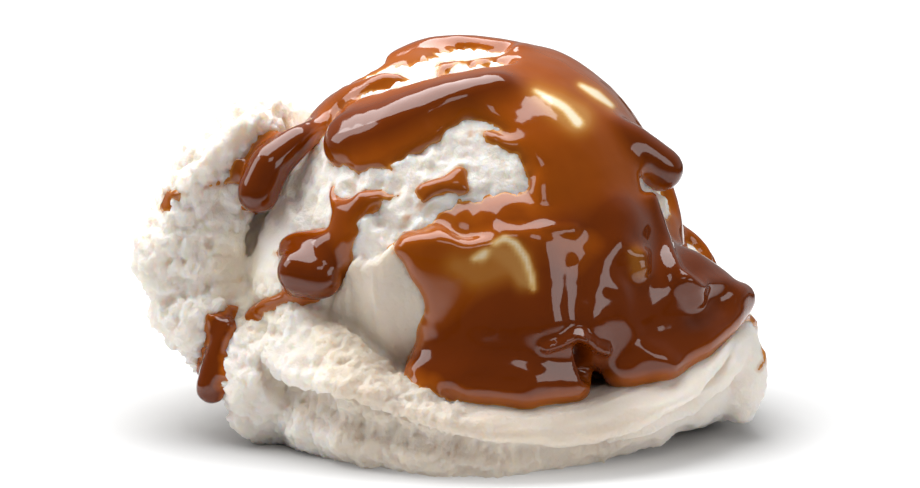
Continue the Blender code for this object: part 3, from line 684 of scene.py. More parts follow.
        reshape(bm, rule)
        bmesh.ops.recalc_face_normals(bm, faces=bm.faces)
        return object_from(bm, "flap")

    def lump(self, name: str, centre: Stop, radii: Stop) -> bpy.types.Object:
        """A rounded lump."""
        bm = bmesh.new()
        bmesh.ops.create_icosphere(bm, subdivisions=self.lump_fineness, radius=1.0)
        place = Matrix.Translation(centre) @ Matrix.Diagonal((*radii, 1))
        bmesh.ops.transform(bm, matrix=place, verts=bm.verts)
        return object_from(bm, name)

    def skin(self, voxel: float) -> bpy.types.Object:
        """All the masses as one skin."""
        rings = [self.ring("roll", self.roll_stations), self.ring("foot", self.foot_stations)]
        parts = [self.ball(), *rings, self.core(), self.flap()]
        parts += [self.lump(name, centre, radii) for name, (centre, radii) in self.lumps.items()]
        return one_skin(parts, "skin", voxel)

    def above_ball(self, points: Array) -> Array:
        """Distance of points from the ball's surface."""
        return np.linalg.norm(points - np.array(self.ball_centre), axis=1) - self.ball_radii[0]


@dataclass
class Base:
    """The smooth skin that ice cream and sauce both grow on."""

    form: ScoopForm = field(default_factory=ScoopForm)
    voxel: float = 0.59
    solids_voxel: float = 0.9
    settling: float = 4
    outward_settling: float = 2
    line_steps: int = 4
    far_out: float = 150.0

    def build(self) -> None:
        """Makes the skin and keeps its points, normals, edges and face tree."""
        self.object = self.form.skin(self.voxel)
        self.mesh = self.object.data
        self.edges = edges_of(self.mesh)
        self.points = relaxed(points_of(self.mesh), self.edges, self.rounds(self.settling))
        set_points(self.mesh, self.points)
        self.normals = normals_of(self.mesh)
        self.outward = unit_rows(self.averaged(self.normals, self.outward_settling))
        self.tree = tree_of(self.mesh)
        self.seen = PHOTOGRAPH.in_sight(self.points, self.normals, self.tree)
        self.pixels = PHOTOGRAPH.pixels_of(self.points)
        LOG.info("base skin: %d points", len(self.points))

    def rounds(self, at_solids: float) -> int:
        """Rounds of averaging that reach as far here as a number of them in the solids."""
        return max(1, round(at_solids * (self.solids_voxel / self.voxel) ** 2))

    def averaged(self, values: Array, at_solids: float) -> Array:
        """Values averaged over the same reach as in the solids."""
        return relaxed(values, self.edges, self.rounds(at_solids))

    def place(self, stops: list[Stop], seen: bool) -> tuple[Array, Array]:
        """Lays a line of stops on the skin.

        Args:
            stops: Pixel places with a radius, or azimuth, elevation and radius.
            seen: True where the stops are pixel places.

        Returns:
            The line's points and their radii.
        """
        given = np.array(stops, float)
        line = filled_in(given, (len(given) - 1) * self.line_steps + 1)
        first, second, radii = line.T
        find = self.front_point if seen else self.far_point
        return np.array([find(a, b) for a, b in zip(first, second)]), radii

    def front_point(self, x: float, y: float) -> Vector:
        """The point of the skin at a pixel."""
        return PHOTOGRAPH.seen_point(self.tree, x, y)

    def far_point(self, azimuth: float, elevation: float) -> Vector:
        """The point of the skin in a direction from the ball's centre."""
        turn, rise = math.radians(azimuth), math.radians(elevation)
        level = math.cos(rise)
        outward = Vector((level * math.cos(turn), level * math.sin(turn), math.sin(rise)))
        start = Vector(self.form.ball_centre) + outward * self.far_out
        return self.tree.ray_cast(start, -outward)[0]

    def copy(self, name: str, points: Array) -> bpy.types.Object:
        """A copy of the skin with its vertices at other places."""
        mesh = self.mesh.copy()
        made = bpy.data.objects.new(name, mesh)
        bpy.context.scene.collection.objects.link(made)
        set_points(mesh, points)
        return made


@dataclass
class SaucePlan:
    """Where the caramel lies and how thick it is. Pixel places are the photograph's."""

    sink: float = 2.5
    edge_width: float = 2.0
    edge_slope: float = 1.6
    # Sheets: thickness, raggedness of the edge, and outline in pixels
    sheets: dict[str, tuple[float, float, list[Stop]]] = field(default_factory=lambda: {
        "pour": (1.8, 0.16, [
            (332, 130), (338, 115), (350, 106), (366, 99), (400, 89), (445, 76), (480, 69),
            (512, 66), (505, 58), (515, 44), (560, 44), (600, 66), (640, 100), (690, 140),
            (694, 176), (672, 185), (658, 168), (648, 172), (638, 180), (640, 194), (655, 191),
            (666, 226), (668, 200), (680, 198), (684, 228), (690, 262), (696, 273), (720, 276),
            (736, 279), (748, 291), (750, 298), (743, 310), (737, 319), (731, 328), (719, 334),
            (713, 342), (692, 355), (675, 369), (656, 377), (630, 379), (592, 377), (586, 356),
            (578, 346), (588, 366), (591, 380), (576, 393), (554, 400), (537, 406), (500, 403),
            (470, 400), (422, 396), (411, 389), (405, 378), (407, 363), (414, 347), (422, 325),
            (427, 309), (425, 296), (414, 276), (407, 260), (394, 249), (399, 233), (432, 228),
            (436, 221), (441, 223), (456, 233), (464, 238), (476, 234), (486, 228), (496, 219),
            (499, 214), (516, 216), (529, 222), (529, 212), (532, 206), (529, 193), (530, 183),
            (533, 173), (526, 161), (518, 150), (512, 138), (500, 128), (487, 122), (475, 118),
            (463, 119), (456, 126), (447, 129), (440, 138), (415, 152), (385, 168), (358, 173),
            (338, 160),
        ]),
        "left flow": (2.2, 0.12, [
            (408, 74), (385, 76), (350, 88), (320, 104), (296, 132), (268, 128), (252, 146),
            (241, 180), (240, 206), (254, 216), (266, 204), (288, 161), (317, 142), (338, 112),
            (362, 96), (400, 80),
        ]),
        "crest": (1.1, 0.15, [
            (340, 90), (356, 76), (377, 62), (400, 52), (422, 42), (430, 22), (500, 30), (520, 46),
            (512, 52), (495, 49), (475, 46), (468, 43), (455, 50), (440, 52), (433, 55), (425, 60),
            (405, 62), (385, 68), (365, 78), (352, 90),
        ]),
        "second strand": (0.6, 0.25, [
            (436, 60), (460, 60), (500, 54), (514, 52), (514, 60), (500, 61), (470, 64),
            (455, 66), (446, 72), (440, 74), (434, 68),
        ]),
        "middle": (1.5, 0.2, [
            (328, 193), (332, 183), (338, 199), (350, 197), (361, 190), (373, 189), (386, 186),
            (380, 194), (374, 197), (390, 194), (400, 191), (398, 195), (380, 202), (370, 208),
            (365, 216), (355, 226), (358, 231), (355, 240), (352, 250), (346, 268), (331, 250),
            (330, 229), (333, 214),
        ]),
        "bead": (2.2, 0.05, [
            (279, 242), (290, 234), (310, 230), (331, 229), (346, 240), (348, 256), (346, 268),
            (331, 286), (316, 303), (300, 297), (280, 288),
        ]),
        "bow": (1.0, 0.12, [
            (413, 190), (418, 184), (433, 179), (446, 176), (450, 171), (461, 163), (466, 169),
            (468, 183), (471, 193), (462, 195), (441, 192), (431, 198), (420, 208), (415, 207),
            (424, 196), (415, 196),
        ]),
        "window smear": (0.9, 0.15, [
            (477, 130), (484, 130), (496, 133), (505, 137), (515, 142), (519, 150), (511, 155),
            (506, 151), (496, 146), (487, 145), (486, 141), (482, 135),
        ]),
        "window strand": (0.9, 0.2, [
            (495, 193), (504, 197), (516, 197), (534, 203), (536, 216), (526, 209), (514, 204),
            (503, 200),
        ]),
        "rim smear": (1.3, 0.15, [
            (241, 319), (250, 308), (262, 300), (276, 295), (297, 296), (316, 303), (303, 306),
            (288, 301), (272, 309), (262, 315), (250, 325),
        ]),
        "left curtain": (1.8, 0.12, [
            (203, 311), (213, 315), (226, 307), (239, 307), (228, 322), (232, 342), (224, 355),
            (228, 380), (218, 392), (196, 390), (192, 372), (200, 347), (204, 326),
        ]),
        "flap smear": (0.9, 0.35, [
            (230, 158), (249, 154), (246, 182), (232, 184), (203, 187), (205, 183), (228, 179),
        ]),
        "flap edge": (0.7, 0.3, [
            (165, 192), (189, 191), (186, 195), (172, 200), (163, 214), (158, 212), (166, 200),
        ]),
        "end streak": (0.7, 0.15, [
            (737, 315), (752, 315), (762, 324), (762, 330), (752, 322), (738, 321),
        ]),
        "end drop": (0.8, 0.1, [
            (762, 330), (768, 345), (768, 362), (760, 374), (757, 371), (764, 360), (764, 346),
        ]),
        "back streak": (0.7, 0.2, [
            (684, 244), (694, 256), (704, 261), (714, 262), (703, 265), (692, 263), (683, 250),
        ]),
    })
    # Bare patches inside the sheets: outline in pixels
    bare: dict[str, list[Stop]] = field(default_factory=lambda: {
        "under the blob": [
            (637, 178), (650, 170), (664, 174), (676, 184), (682, 196), (677, 206), (670, 205),
            (668, 225), (664, 238), (657, 215), (650, 196), (640, 192)],
    })
    bare_reach: float = 2.0
    # Small splashes: pixel place and radius in pixels
    splashes: list[Stop] = field(default_factory=lambda: [
        (391, 170, 4.0), (406, 217, 3.0), (275, 254, 3.0), (470, 133, 3.2), (526, 171, 3.6),
        (520, 159, 2.6), (431, 181, 2.0), (387, 248, 2.6),
    ])
    # Thick places: height over the ice cream, and pixel places with a radius in mm
    ridges: dict[str, tuple[float, list[Stop]]] = field(default_factory=lambda: {
        "arm": (3.6, [(352, 138, 5.2), (385, 130, 4.6), (440, 106, 3.8), (500, 92, 3.4)]),
        "crest node": (2.6, [(516, 56, 1.6), (528, 54, 2.4), (548, 58, 2.0)]),
        "strand": (2.8, [(640, 184, 1.0), (652, 214, 1.4), (668, 250, 1.8), (688, 282, 2.4)]),
        "strand knot": (3.6, [(684, 284, 2.2), (697, 292, 2.4), (700, 306, 1.4)]),
    })
    # Drops that hang clear of the ice cream: stops as X, Y, Z and radius
    drops: dict[str, list[Stop]] = field(default_factory=lambda: {
        "left end": [
            (-20.0, -2.0, 49.6, 1.6), (-24.5, -8.0, 47.5, 2.6),
            (-28.6, -10.5, 44.3, 3.4), (-30.5, -11.5, 40.0, 3.5),
        ],
        "bead": [(-23.6, -20.6, 29.2, 3.9), (-20.6, -21.6, 28.6, 3.6)],
        "drip": [(-35.4, -12.6, 19.0, 1.6), (-37.6, -12.6, 13.0, 2.0), (-38.2, -12.4, 8.8, 2.6)],
        "right blob": [(19.0, -11.0, 51.5, 3.2), (27.5, -10.0, 47.2, 3.7), (32.8, -8.4, 43.2, 3.6)],
        "front lobe": [
            (-3.3, -29.2, 14.8, 4.3), (3.0, -31.6, 14.9, 5.1), (11.0, -32.0, 14.3, 5.1),
            (17.0, -30.2, 13.8, 4.4)],
        "right lobe": [
            (26.6, -26.2, 15.6, 4.0), (31.0, -24.0, 16.2, 4.2), (37.0, -18.6, 18.0, 4.2),
            (42.0, -12.4, 20.8, 3.7), (45.5, -7.4, 22.3, 2.6)],
        "belly left": [(1.6, -20.9, 34.0, 9.4), (0.8, -26.0, 22.0, 7.0)],
        "belly": [(8.0, -21.5, 34.0, 10.0), (6.6, -27.1, 22.5, 8.1)],
        "belly middle": [(14.5, -20.4, 34.0, 10.0), (13.0, -27.1, 22.5, 8.1)],
        "belly right": [(20.6, -17.6, 34.0, 10.0), (19.6, -25.0, 22.5, 7.7)],
        "belly side": [(22.4, -15.2, 33.0, 8.6), (24.8, -21.4, 23.0, 7.4)],
        "right fill": [
            (25.0, -21.0, 23.0, 7.4), (30.6, -17.4, 24.8, 7.0), (35.6, -12.6, 26.0, 5.6),
            (40.4, -9.0, 24.4, 3.8)],
    })
    # Waves on the poured front: height in mm, half width in pixels, and pixel places
    waves: dict[str, tuple[float, float, list[Stop]]] = field(default_factory=lambda: {
        "lip left": (1.5, 5.0, [(546, 348), (562, 342), (572, 337), (580, 336)]),
        "lip right": (1.5, 5.0, [(580, 336), (588, 340), (597, 347), (606, 350)]),
        "notch": (-3.6, 5.0, [(582, 352), (585, 362), (590, 376)]),
        "left finger": (0.6, 16.0, [(545, 244), (546, 270), (550, 300), (558, 322)]),
        "middle finger": (0.8, 16.0, [(618, 246), (604, 262), (596, 290), (594, 326)]),
        "right finger": (0.8, 13.0, [(618, 292), (624, 320), (636, 344), (672, 368)]),
        "first pocket": (-0.35, 13.0, [(579, 270), (580, 294)]),
        "second pocket": (-0.35, 13.0, [(572, 312), (573, 326)]),
        "third pocket": (-0.4, 14.0, [(608, 300), (610, 330)]),
        "fold": (0.5, 8.0, [(500, 232), (520, 234), (545, 230), (572, 230)]),
        "strand left": (1.2, 7.0, [(650, 200), (662, 236), (676, 272), (690, 290)]),
        "strand knot": (1.2, 8.0, [(682, 284), (696, 290), (699, 302)]),
        "amber drop": (1.8, 9.0, [(638, 256), (639, 270)]),
        "apron rim": (1.0, 9.0, [(704, 284), (724, 284), (742, 294)]),
        "apron dip": (-0.6, 14.0, [(700, 318), (722, 306)]),
        "lobe dent": (-0.4, 10.0, [(470, 380), (520, 384)]),
    })
    # Runs on the far side: height, and azimuth and elevation about the ball with a radius
    far_runs: dict[str, tuple[float, list[Stop]]] = field(default_factory=lambda: {
        "cap": (2.0, [(95, 80, 14.0), (60, 62, 11.0)]),
        "right": (2.0, [(-20, 62, 10.0), (2, 40, 9.0), (10, 20, 7.0), (2, 2, 8.0), (-8, -12, 8.0)]),
        "far right": (2.0, [(35, 58, 9.0), (30, 36, 8.0), (28, 18, 6.0), (26, 2, 6.0), (20, -8, 7.0)]),
        "far middle": (2.2, [(75, 62, 9.0), (70, 40, 7.0), (66, 18, 5.5), (62, -2, 4.6), (60, -12, 4.8)]),
        "far left": (2.4, [(110, 66, 8.0), (118, 48, 5.5), (122, 30, 4.2), (124, 16, 4.6)]),
    })
    drop_steps: int = 6
    drop_fineness: int = 4
    blend: float = 0.9
    raggedness: Grain = Grain(1.9, 4.0, 1.0, 2)
    ripple: Grain = Grain((6.0, 6.0, 9.0), 31.0, 0.16, 2)
    ripple_above: tuple[float, float] = (0.8, 1.6)
    splash_height: float = 0.8
    # How wide a rounded edge is against the drop's height
    edge_share: float = 1.1

    def rounded(self, distance: Array, height: float) -> Array:
        """A drop's height over its footing: a rounded edge, and below the surface outside."""
        reach = max(height * self.edge_share, self.edge_width / 2)
        inward = np.clip(-distance / reach, 0, 1)
        mound = height * np.sqrt(1 - (1 - inward) ** 2)
        return np.where(distance < 0, mound, -distance * self.edge_slope)

    def height(self, base: Base) -> Array:
        """Works out the sauce's height over the ice cream.

        Args:
            base: The skin that it lies on.

        Returns:
            One height for each of the skin's points, less than 0 where there is no sauce.
        """
        ragged = self.raggedness.layered(base.points)
        height = np.full(len(base.points), -self.sink)
        for thickness, raggedness, outline in self.sheets.values():
            reach = PHOTOGRAPH.distance_to_outline(base.pixels, outline) + raggedness * ragged
            sheet = self.rounded(reach, thickness)
            height = np.where(base.seen, np.maximum(height, sheet), height)
        for x, y, radius in self.splashes:
            gap = np.linalg.norm(base.pixels - np.array((x, y)), axis=1) - radius
            spot = self.rounded(gap / PHOTOGRAPH.pixels_per_mm, self.splash_height)
            height = np.where(base.seen, np.maximum(height, spot), height)
        for runs, seen in ((self.ridges, True), (self.far_runs, False)):
            for thickness, stops in runs.values():
                line, radii = base.place(stops, seen)
                mound = self.rounded(distance_to_line(base.points, line, radii), thickness)
                taller = blended_max(height, mound, self.blend)
                height = np.where(base.seen == seen, taller, height)
        for outline in self.bare.values():
            outside = PHOTOGRAPH.distance_to_outline(base.pixels, outline)
            edge = self.rounded(-outside, self.bare_reach)
            near = base.seen & (outside < self.bare_reach)
            height = np.where(near, np.minimum(height, edge), height)
        height += self.ripple.layered(base.points) * ease_between(*self.ripple_above, height)
        return np.maximum(height, -self.sink)

    def drop(self, name: str, stops: list[Stop]) -> bpy.types.Object:
        """A hanging drop: balls close together along its stops."""
        given = np.array(stops, float)
        bm = bmesh.new()
        for x, y, z, radius in filled_in(given, (len(given) - 1) * self.drop_steps + 1):
            place = Matrix.Translation((x, y, z))
            bmesh.ops.create_icosphere(bm, subdivisions=self.drop_fineness, radius=radius,
                                       matrix=place)
        return object_from(bm, name)


@dataclass
class IceCreamRelief:
    """The torn, crumbly and dragged surface of the ice cream."""

    # A line, its radius, the soft edge's width and how deep the crags are
    crumbly: dict[str, tuple[list[Stop], float, float, float]] = field(default_factory=lambda: {
        "flap face": ([(-43, -6, 14), (-46, -4, 28), (-40, -2, 42), (-31, 2, 48)], 9.5, 4.0, 1.0),
        "left end": ([(-31, -12, 4), (-31, -13, 16)], 9.0, 4.0, 0.95),
        "rim": ([(-26, -19, 20), (-14, -30, 13), (-4, -35, 9)], 5.5, 4.0, 0.75),
        "left foot": ([(-30, -18, 3), (-14, -32, 3), (4, -37, 2)], 5.0, 4.0, 0.7),
        "front foot": ([(4, -37, 1), (20, -32, 1), (36, -20, 1), (46, -6, 1)], 2.0, 2.5, 0.4),
        "back foot": ([(-30, 22, 4), (-4, 36, 4), (28, 28, 4), (44, 6, 4)], 6.0, 6.0, 0.45),
        "flap back": ([(-34, 14, 34), (-20, 28, 26)], 8.0, 8.0, 0.45),
    })
    # The torn edge of the ball's front layer, in pixels
    ledge: list[Stop] = field(default_factory=lambda: [
        (322, 330), (338, 285), (348, 268), (357, 258), (368, 263), (380, 258), (392, 247),
        (402, 240), (432, 231), (470, 238), (505, 232), (560, 236), (640, 262),
    ])
    ledge_bend: Grain = Grain(9.0, 0.0, 0.5)
    ledge_step: float = 2.0
    # Where the front layer starts and ends: two pixel places across, two depths in mm, and
    # the heights below the ledge where it starts and where its step has run out
    layer_left: tuple[float, float] = (322, 345)
    layer_right: tuple[float, float] = (700, 600)
    layer_back: tuple[float, float] = (4.0, -6.0)
    layer_top: tuple[float, float] = (-0.4, 0.5)
    layer_foot: tuple[float, float] = (22.0, 2.0)
    crust: float = 0.3
    # How far the ball's own surface reaches: above the ball, and above the table
    ball_reach: tuple[float, float] = (2.5, 0.3)
    ball_foot: tuple[float, float] = (8.0, 14.0)
    # The carved hollow and the smooth trough; the tint also lays painted shade along both
    hollow_line: list[Stop] = field(default_factory=lambda: [
        (-17.5, -24, 27), (-16.5, -26, 19), (-12.5, -30, 13)])
    hollow_radius: float = 0.5
    hollow_soft: float = 7.0
    hollow_depth: float = 2.2
    smooth_trough: list[Stop] = field(default_factory=lambda: [
        (-33, -4, 27), (-29, -8, 22), (-25, -12, 20)])
    trough_radius: float = 3.5
    trough_soft: float = 4.0
    # How much of the relief is left under sauce, and the sauce's heights where it fades
    under_sauce: float = 0.15
    sauce_fade: tuple[float, float] = (0.0, 1.2)
    fine_under_sauce: float = 0.1
    fine_fade: tuple[float, float] = (0.0, 1.0)
    # How much tearing is left on the front layer, of crags on the ball, of crumbs in the trough
    tearing_on_layer: float = 0.15
    crags_on_ball: float = 0.25
    crumbs_in_trough: float = 0.1
    least_crumbly: float = 0.1

    # Crags: crumbs, the bending of their outlines, slow swells and grit
    crag_bend: Grain = Grain(5.0, 13.7, 1.4)
    crag: Grain = Grain(5.2, 0.0, 1.3)
    crag_swell: Grain = Grain(8.0, 3.0, 1.0, 2)
    crag_grit: Grain = Grain(3.0, 21.0, 0.5, 2)
    # Small crumbs, jagged flakes that stand upright, and threads
    crumb_bend: Grain = Grain(2.4, 7.9, 0.7)
    crumb: Grain = Grain(2.3, 40.0, 0.25)
    flake: Grain = Grain((2.1, 2.1, 3.5), 5.0, 1.75, 3)
    crumb_thread: Grain = Grain((0.9, 0.9, 3.0), 33.0, 0.22)
    # Tearing of the ball, on its arc and height: columns, threads and jags, then its ledges
    arc_radius: float = 30.0
    column: Grain = Grain((2.6, 1.0, 11.0), 0.0, 0.55)
    thread: Grain = Grain((1.1, 1.0, 6.0), (0.0, 5.0, 0.0), 0.22)
    jag: Grain = Grain((3.4, 40.0, 1.0), 0.0, 1.4)
    fine_jag: Grain = Grain((1.3, 9.0, 1.0), (0.0, 0.0, 3.0), 0.6)
    ledge_drift: Grain = Grain(11.0, 2.5, 4.5, 2)
    ledge_spacing: float = 9.5
    ledge_height: float = 1.5
    ledge_middle: float = 0.4
    ledge_drop: tuple[float, float] = (0.88, 1.0)
    patch: Grain = Grain(12.0, 50.0)
    patch_edge: tuple[float, float] = (-0.35, 0.35)
    pit: Grain = Grain(3.1, 9.0)
    pit_edge: tuple[float, float] = (0.75, 0.2)
    pit_depth: float = 0.5
    torn_crest: Grain = Grain(2.6, 70.0, 0.6, 3)
    # Upright fibres of the front layer
    fibre: Grain = Grain((2.8, 1.0, 13.0), (0.0, 8.0, 0.0), 0.45)
    fine_fibre: Grain = Grain((1.2, 1.0, 9.0), (0.0, 12.0, 0.0), 0.28)
    # Marks that run round the skirt, and its swells
    skirt_radius: float = 36.0
    drag: Grain = Grain((14.0, 2.2, 1.9), 3.0, 0.32, 3)
    skirt_swell: Grain = Grain(9.0, 60.0, 0.35, 2)

    # Where the roll laps over the foot: pixel place, depth and reach of the groove in mm
    lap: list[Stop] = field(default_factory=lambda: [
        (250, 352, 0.0, 5.0), (262, 366, 2.0, 6.0), (278, 381, 3.2, 7.0), (322, 396, 3.6, 8.0),
        (355, 402, 3.4, 8.0), (385, 413, 3.0, 7.5), (440, 432, 2.4, 6.5), (500, 444, 2.0, 5.0),
        (560, 451, 1.8, 4.0), (600, 446, 1.8, 4.0), (640, 433, 1.8, 4.0), (700, 399, 2.4, 5.0),
        (726, 366, 2.6, 5.0), (738, 342, 0.0, 5.0)])
    lap_bend: Grain = Grain(14.0, 0.0, 0.3)
    # The groove's upper edge in mm, its lower edge as a share of its reach, and its lip
    lap_edge: tuple[float, float] = (-0.3, 0.9)
    lap_end: tuple[float, float] = (1.0, 0.1)
    lip_share: float = 0.25
    lip_above: float = 1.8
    lip_width: float = 1.2
    # Depth of lap that gets the groove's full painted shade, and that shade's rounds of averaging
    deepest_lap: float = 2.5
    groove_rounds: float = 2
    lap_rounds: float = 0.3

    def lap_recess(self, base: Base) -> Array:
        """How far the foot is set back just under the roll's lip."""
        line = np.array(self.lap, float)
        x = base.pixels[:, 0]
        lip_y, depth, reach = (np.interp(x, line[:, 0], line[:, k]) for k in (1, 2, 3))
        below = (base.pixels[:, 1] - lip_y) / PHOTOGRAPH.pixels_per_mm
        below += self.lap_bend.smooth(columns(x, 0.0, 0.0))
        inside = (x > line[0, 0]) & (x < line[-1, 0]) & base.seen
        near = ease_between(*self.lap_edge, below) * ease_between(*self.lap_end, below / reach)
        lip = self.lip_share * depth * np.exp(-((below + self.lip_above) / self.lip_width) ** 2)
        # The groove's weight, kept for the painted shade in the groove
        groove = np.where(inside, near * ease_between(0.0, self.deepest_lap, depth), 0.0)
        self.groove = base.averaged(groove, self.groove_rounds)
        return base.averaged(np.where(inside, depth * near - lip, 0.0), self.lap_rounds)

    def line_weight(self, points: Array, line: list[Stop], radius: float, soft: float) -> Array:
        """1 near a line, falling to 0 over the soft width."""
        reach = distance_to_line(points, np.array(line, float), np.full(len(line), radius))
        return ease_between(soft, 0.0, reach)

    def crumb_weight(self, points: Array) -> Array:
        """How crumbly each place is, 0 to 1."""
        weight = np.full(len(points), self.least_crumbly)
        for line, radius, soft, depth in self.crumbly.values():
            weight = np.maximum(weight, depth * self.line_weight(points, line, radius, soft))
        return weight

    def crags(self, points: Array) -> Array:
        """Rounded crumbs of the coarse size, and slow swells."""
        coarse = self.crag.domes(self.crag_bend.bent(points))
        return coarse + self.crag_swell.layered(points) + self.crag_grit.layered(points)

    def crumbs(self, points: Array) -> Array:
        """Small crumbs and jagged crests between them."""
        bent = self.crumb_bend.bent(points)
        return self.crumb.domes(bent) + self.flake.ridged(bent) + self.crumb_thread.smooth(points)

    def torn(self, points: Array, centre: Stop) -> Array:
        """Ledges and columns where the ball's crust tore."""
        arc = arc_round(points, centre, self.arc_radius)
        z = points[:, 2]
        upright = columns(arc, 0.0, z)
        along = columns(arc, z, 0.0)
        jags = self.jag.smooth(along) + self.fine_jag.smooth(along)
        level = (z + self.ledge_drift.layered(points) + jags) / self.ledge_spacing
        part = level - np.floor(level)
        saw = part * (1 - ease_between(*self.ledge_drop, part))
        patch = ease_between(*self.patch_edge, self.patch.smooth(points))
        pits = ease_between(*self.pit_edge, self.pit.cells(points)) * patch
        height = self.ledge_height * (saw - self.ledge_middle) * patch - self.pit_depth * pits
        height += self.column.smooth(upright) + self.thread.smooth(upright)
        return height + self.torn_crest.ridged(points)

    def fibres(self, points: Array, centre: Stop) -> Array:
        """Upright fibres of the smooth front layer."""
        upright = columns(arc_round(points, centre, self.arc_radius), 0.0, points[:, 2])
        return self.fibre.smooth(upright) + self.fine_fibre.smooth(upright)

    def drag_marks(self, points: Array, axis: Stop) -> Array:
        """Marks that run round the skirt, and slow swells."""
        out = np.hypot(points[:, 0], points[:, 1])
        along = columns(arc_round(points, axis, self.skirt_radius), out, points[:, 2])
        return self.drag.layered(along) + self.skirt_swell.layered(points)

    def on_ball(self, base: Base) -> Array:
        """1 on the ball, 0 on the skirt and the flap."""
        above = base.form.above_ball(base.points)
        return ease_between(*self.ball_reach, above) * ease_between(*self.ball_foot, base.points[:, 2])

    def coarse(self, base: Base, sauce: Array) -> Array:
        """Height of the large relief along the normal.

        Args:
            base: The smooth skin.
            sauce: Height of the sauce over it.

        Returns:
            One height for each of the skin's points.
        """
        points, (x, y) = base.points, base.pixels.T
        centre = base.form.ball_centre
        on_ball = self.on_ball(base)
        ledge_x, ledge_y = np.array(self.ledge, float).T
        below = (y - np.interp(x, ledge_x, ledge_y)) / PHOTOGRAPH.pixels_per_mm
        below = below + self.ledge_bend.smooth(columns(x, 0.0, 0.0))
        across = ease_between(*self.layer_left, x) * ease_between(*self.layer_right, x)
        front = ease_between(*self.layer_back, points[:, 1]) * across
        petal = ease_between(*self.layer_top, below) * front
        self.petal = petal
        step = self.ledge_step * petal * ease_between(*self.layer_foot, below)
        hollow = self.line_weight(points, self.hollow_line, self.hollow_radius, self.hollow_soft)
        bare = 1 - (1 - self.under_sauce) * ease_between(*self.sauce_fade, sauce)
        torn = self.torn(points, centre) * on_ball * (1 - (1 - self.tearing_on_layer) * petal)
        crags = self.crags(points) * self.crumb_weight(points)
        crags *= 1 - (1 - self.crags_on_ball) * on_ball
        drag = self.drag_marks(points, base.form.ring_axis) * (1 - on_ball)
        fibres = self.fibres(points, centre) * on_ball * petal
        low = (torn + crags + drag + fibres) * bare - self.lap_recess(base)
        return low + (step - self.hollow_depth * hollow) * on_ball

    def fine(self, base: Base, points: Array, sauce: Array) -> Array:
        """Height of the small crumbs along the coarse relief's normal.

        Args:
            base: The smooth skin.
            points: The skin's points with the coarse relief.
            sauce: Height of the sauce over the skin.

        Returns:
            One height for each point.
        """
        on_ball = self.on_ball(base)
        weight = self.crumb_weight(base.points) * (1 - on_ball)
        weight += self.crust * on_ball * (1 - self.petal)
        trough = self.line_weight(base.points, self.smooth_trough, self.trough_radius, self.trough_soft)
        weight *= 1 - (1 - self.crumbs_in_trough) * trough
        bare = 1 - (1 - self.fine_under_sauce) * ease_between(*self.fine_fade, sauce)
        return self.crumbs(points) * weight * bare


def node(tree: bpy.types.NodeTree, kind: str, **values: object) -> bpy.types.Node:
    """Adds a node to a material and sets its properties and inputs.

    Args:
        tree: The material's node tree.
        kind: The node's type without its ShaderNode prefix.
        values: Properties by name, and inputs by their name with underscores for spaces.

    Returns:
        The node.
    """
    made = tree.nodes.new("ShaderNode" + kind)
    for name, value in values.items():
        if hasattr(made, name):
            setattr(made, name, value)
        else:
            made.inputs[name.replace("_", " ")].default_value = value
    return made


def ramp(tree: bpy.types.NodeTree, factor: bpy.types.NodeSocket,
         stops: list[tuple[float, Colour]]) -> bpy.types.NodeSocket:
    """A colour ramp on a factor.

    Args:
        tree: The material's node tree.
        factor: The socket that drives the ramp.
        stops: Positions and their colours.

    Returns:
        The ramp's colour socket.
    """
    made = node(tree, "ValToRGB")
    elements = made.color_ramp.elements
    while len(elements) < len(stops):
        elements.new(0.5)
    for element, (position, colour) in zip(elements, stops):
        element.position = position
        element.color = (*colour, 1)
    tree.links.new(factor, made.inputs["Fac"])
    return made.outputs["Color"]


def attribute(tree: bpy.types.NodeTree, name: str) -> bpy.types.NodeSocket:
    """The socket of a vertex attribute."""
    return node(tree, "Attribute", attribute_name=name).outputs["Fac"]


def noise_on_object(tree: bpy.types.NodeTree, size: float, detail: float) -> bpy.types.NodeSocket:
    """Noise on Object coordinates.

    Args:
        tree: The material's node tree.
        size: Size of the noise's lumps in mm.
        detail: Octaves.

    Returns:
        The noise's number socket.
    """
    place = node(tree, "TexCoord").outputs["Object"]
    made = node(tree, "TexNoise", Scale=1 / (size * METRES_PER_MM), Detail=detail)
    tree.links.new(place, made.inputs["Vector"])
    return made.outputs["Fac"]


def mixed(tree: bpy.types.NodeTree, factor: bpy.types.NodeSocket, a: object,
          b: object) -> bpy.types.NodeSocket:
    """Mixes two colours, each a socket or a value."""
    made = node(tree, "Mix", data_type="RGBA")
    tree.links.new(factor, made.inputs[0])
    for socket, value in ((made.inputs[6], a), (made.inputs[7], b)):
        if isinstance(value, bpy.types.NodeSocket):
            tree.links.new(value, socket)
        else:
            socket.default_value = (*value, 1)
    return made.outputs[2]


def new_material(name: str) -> tuple[bpy.types.Material, bpy.types.NodeTree, bpy.types.Node]:
    """Makes a material and gives it with its node tree and its shader."""
    made = bpy.data.materials.new(name)
    made.use_nodes = True
    return made, made.node_tree, made.node_tree.nodes["Principled BSDF"]


def bumped(tree: bpy.types.NodeTree, shader: bpy.types.Node, height: bpy.types.NodeSocket,
           bump: tuple[float, float]) -> None:
    """Gives a shader a bump.

    Args:
        tree: The material's node tree.
        shader: Its shader.
        height: The socket that the bump's height comes from.
        bump: The bump's strength and its distance in metres.
    """
    made = node(tree, "Bump", Strength=bump[0], Distance=bump[1])
    tree.links.new(height, made.inputs["Height"])
    tree.links.new(made.outputs["Normal"], shader.inputs["Normal"])


def product(tree: bpy.types.NodeTree, a: bpy.types.NodeSocket,
            b: bpy.types.NodeSocket) -> bpy.types.NodeSocket:
    """Multiplies two numbers."""
    made = node(tree, "Math", operation="MULTIPLY")
    tree.links.new(a, made.inputs[0])
    tree.links.new(b, made.inputs[1])
    return made.outputs["Value"]


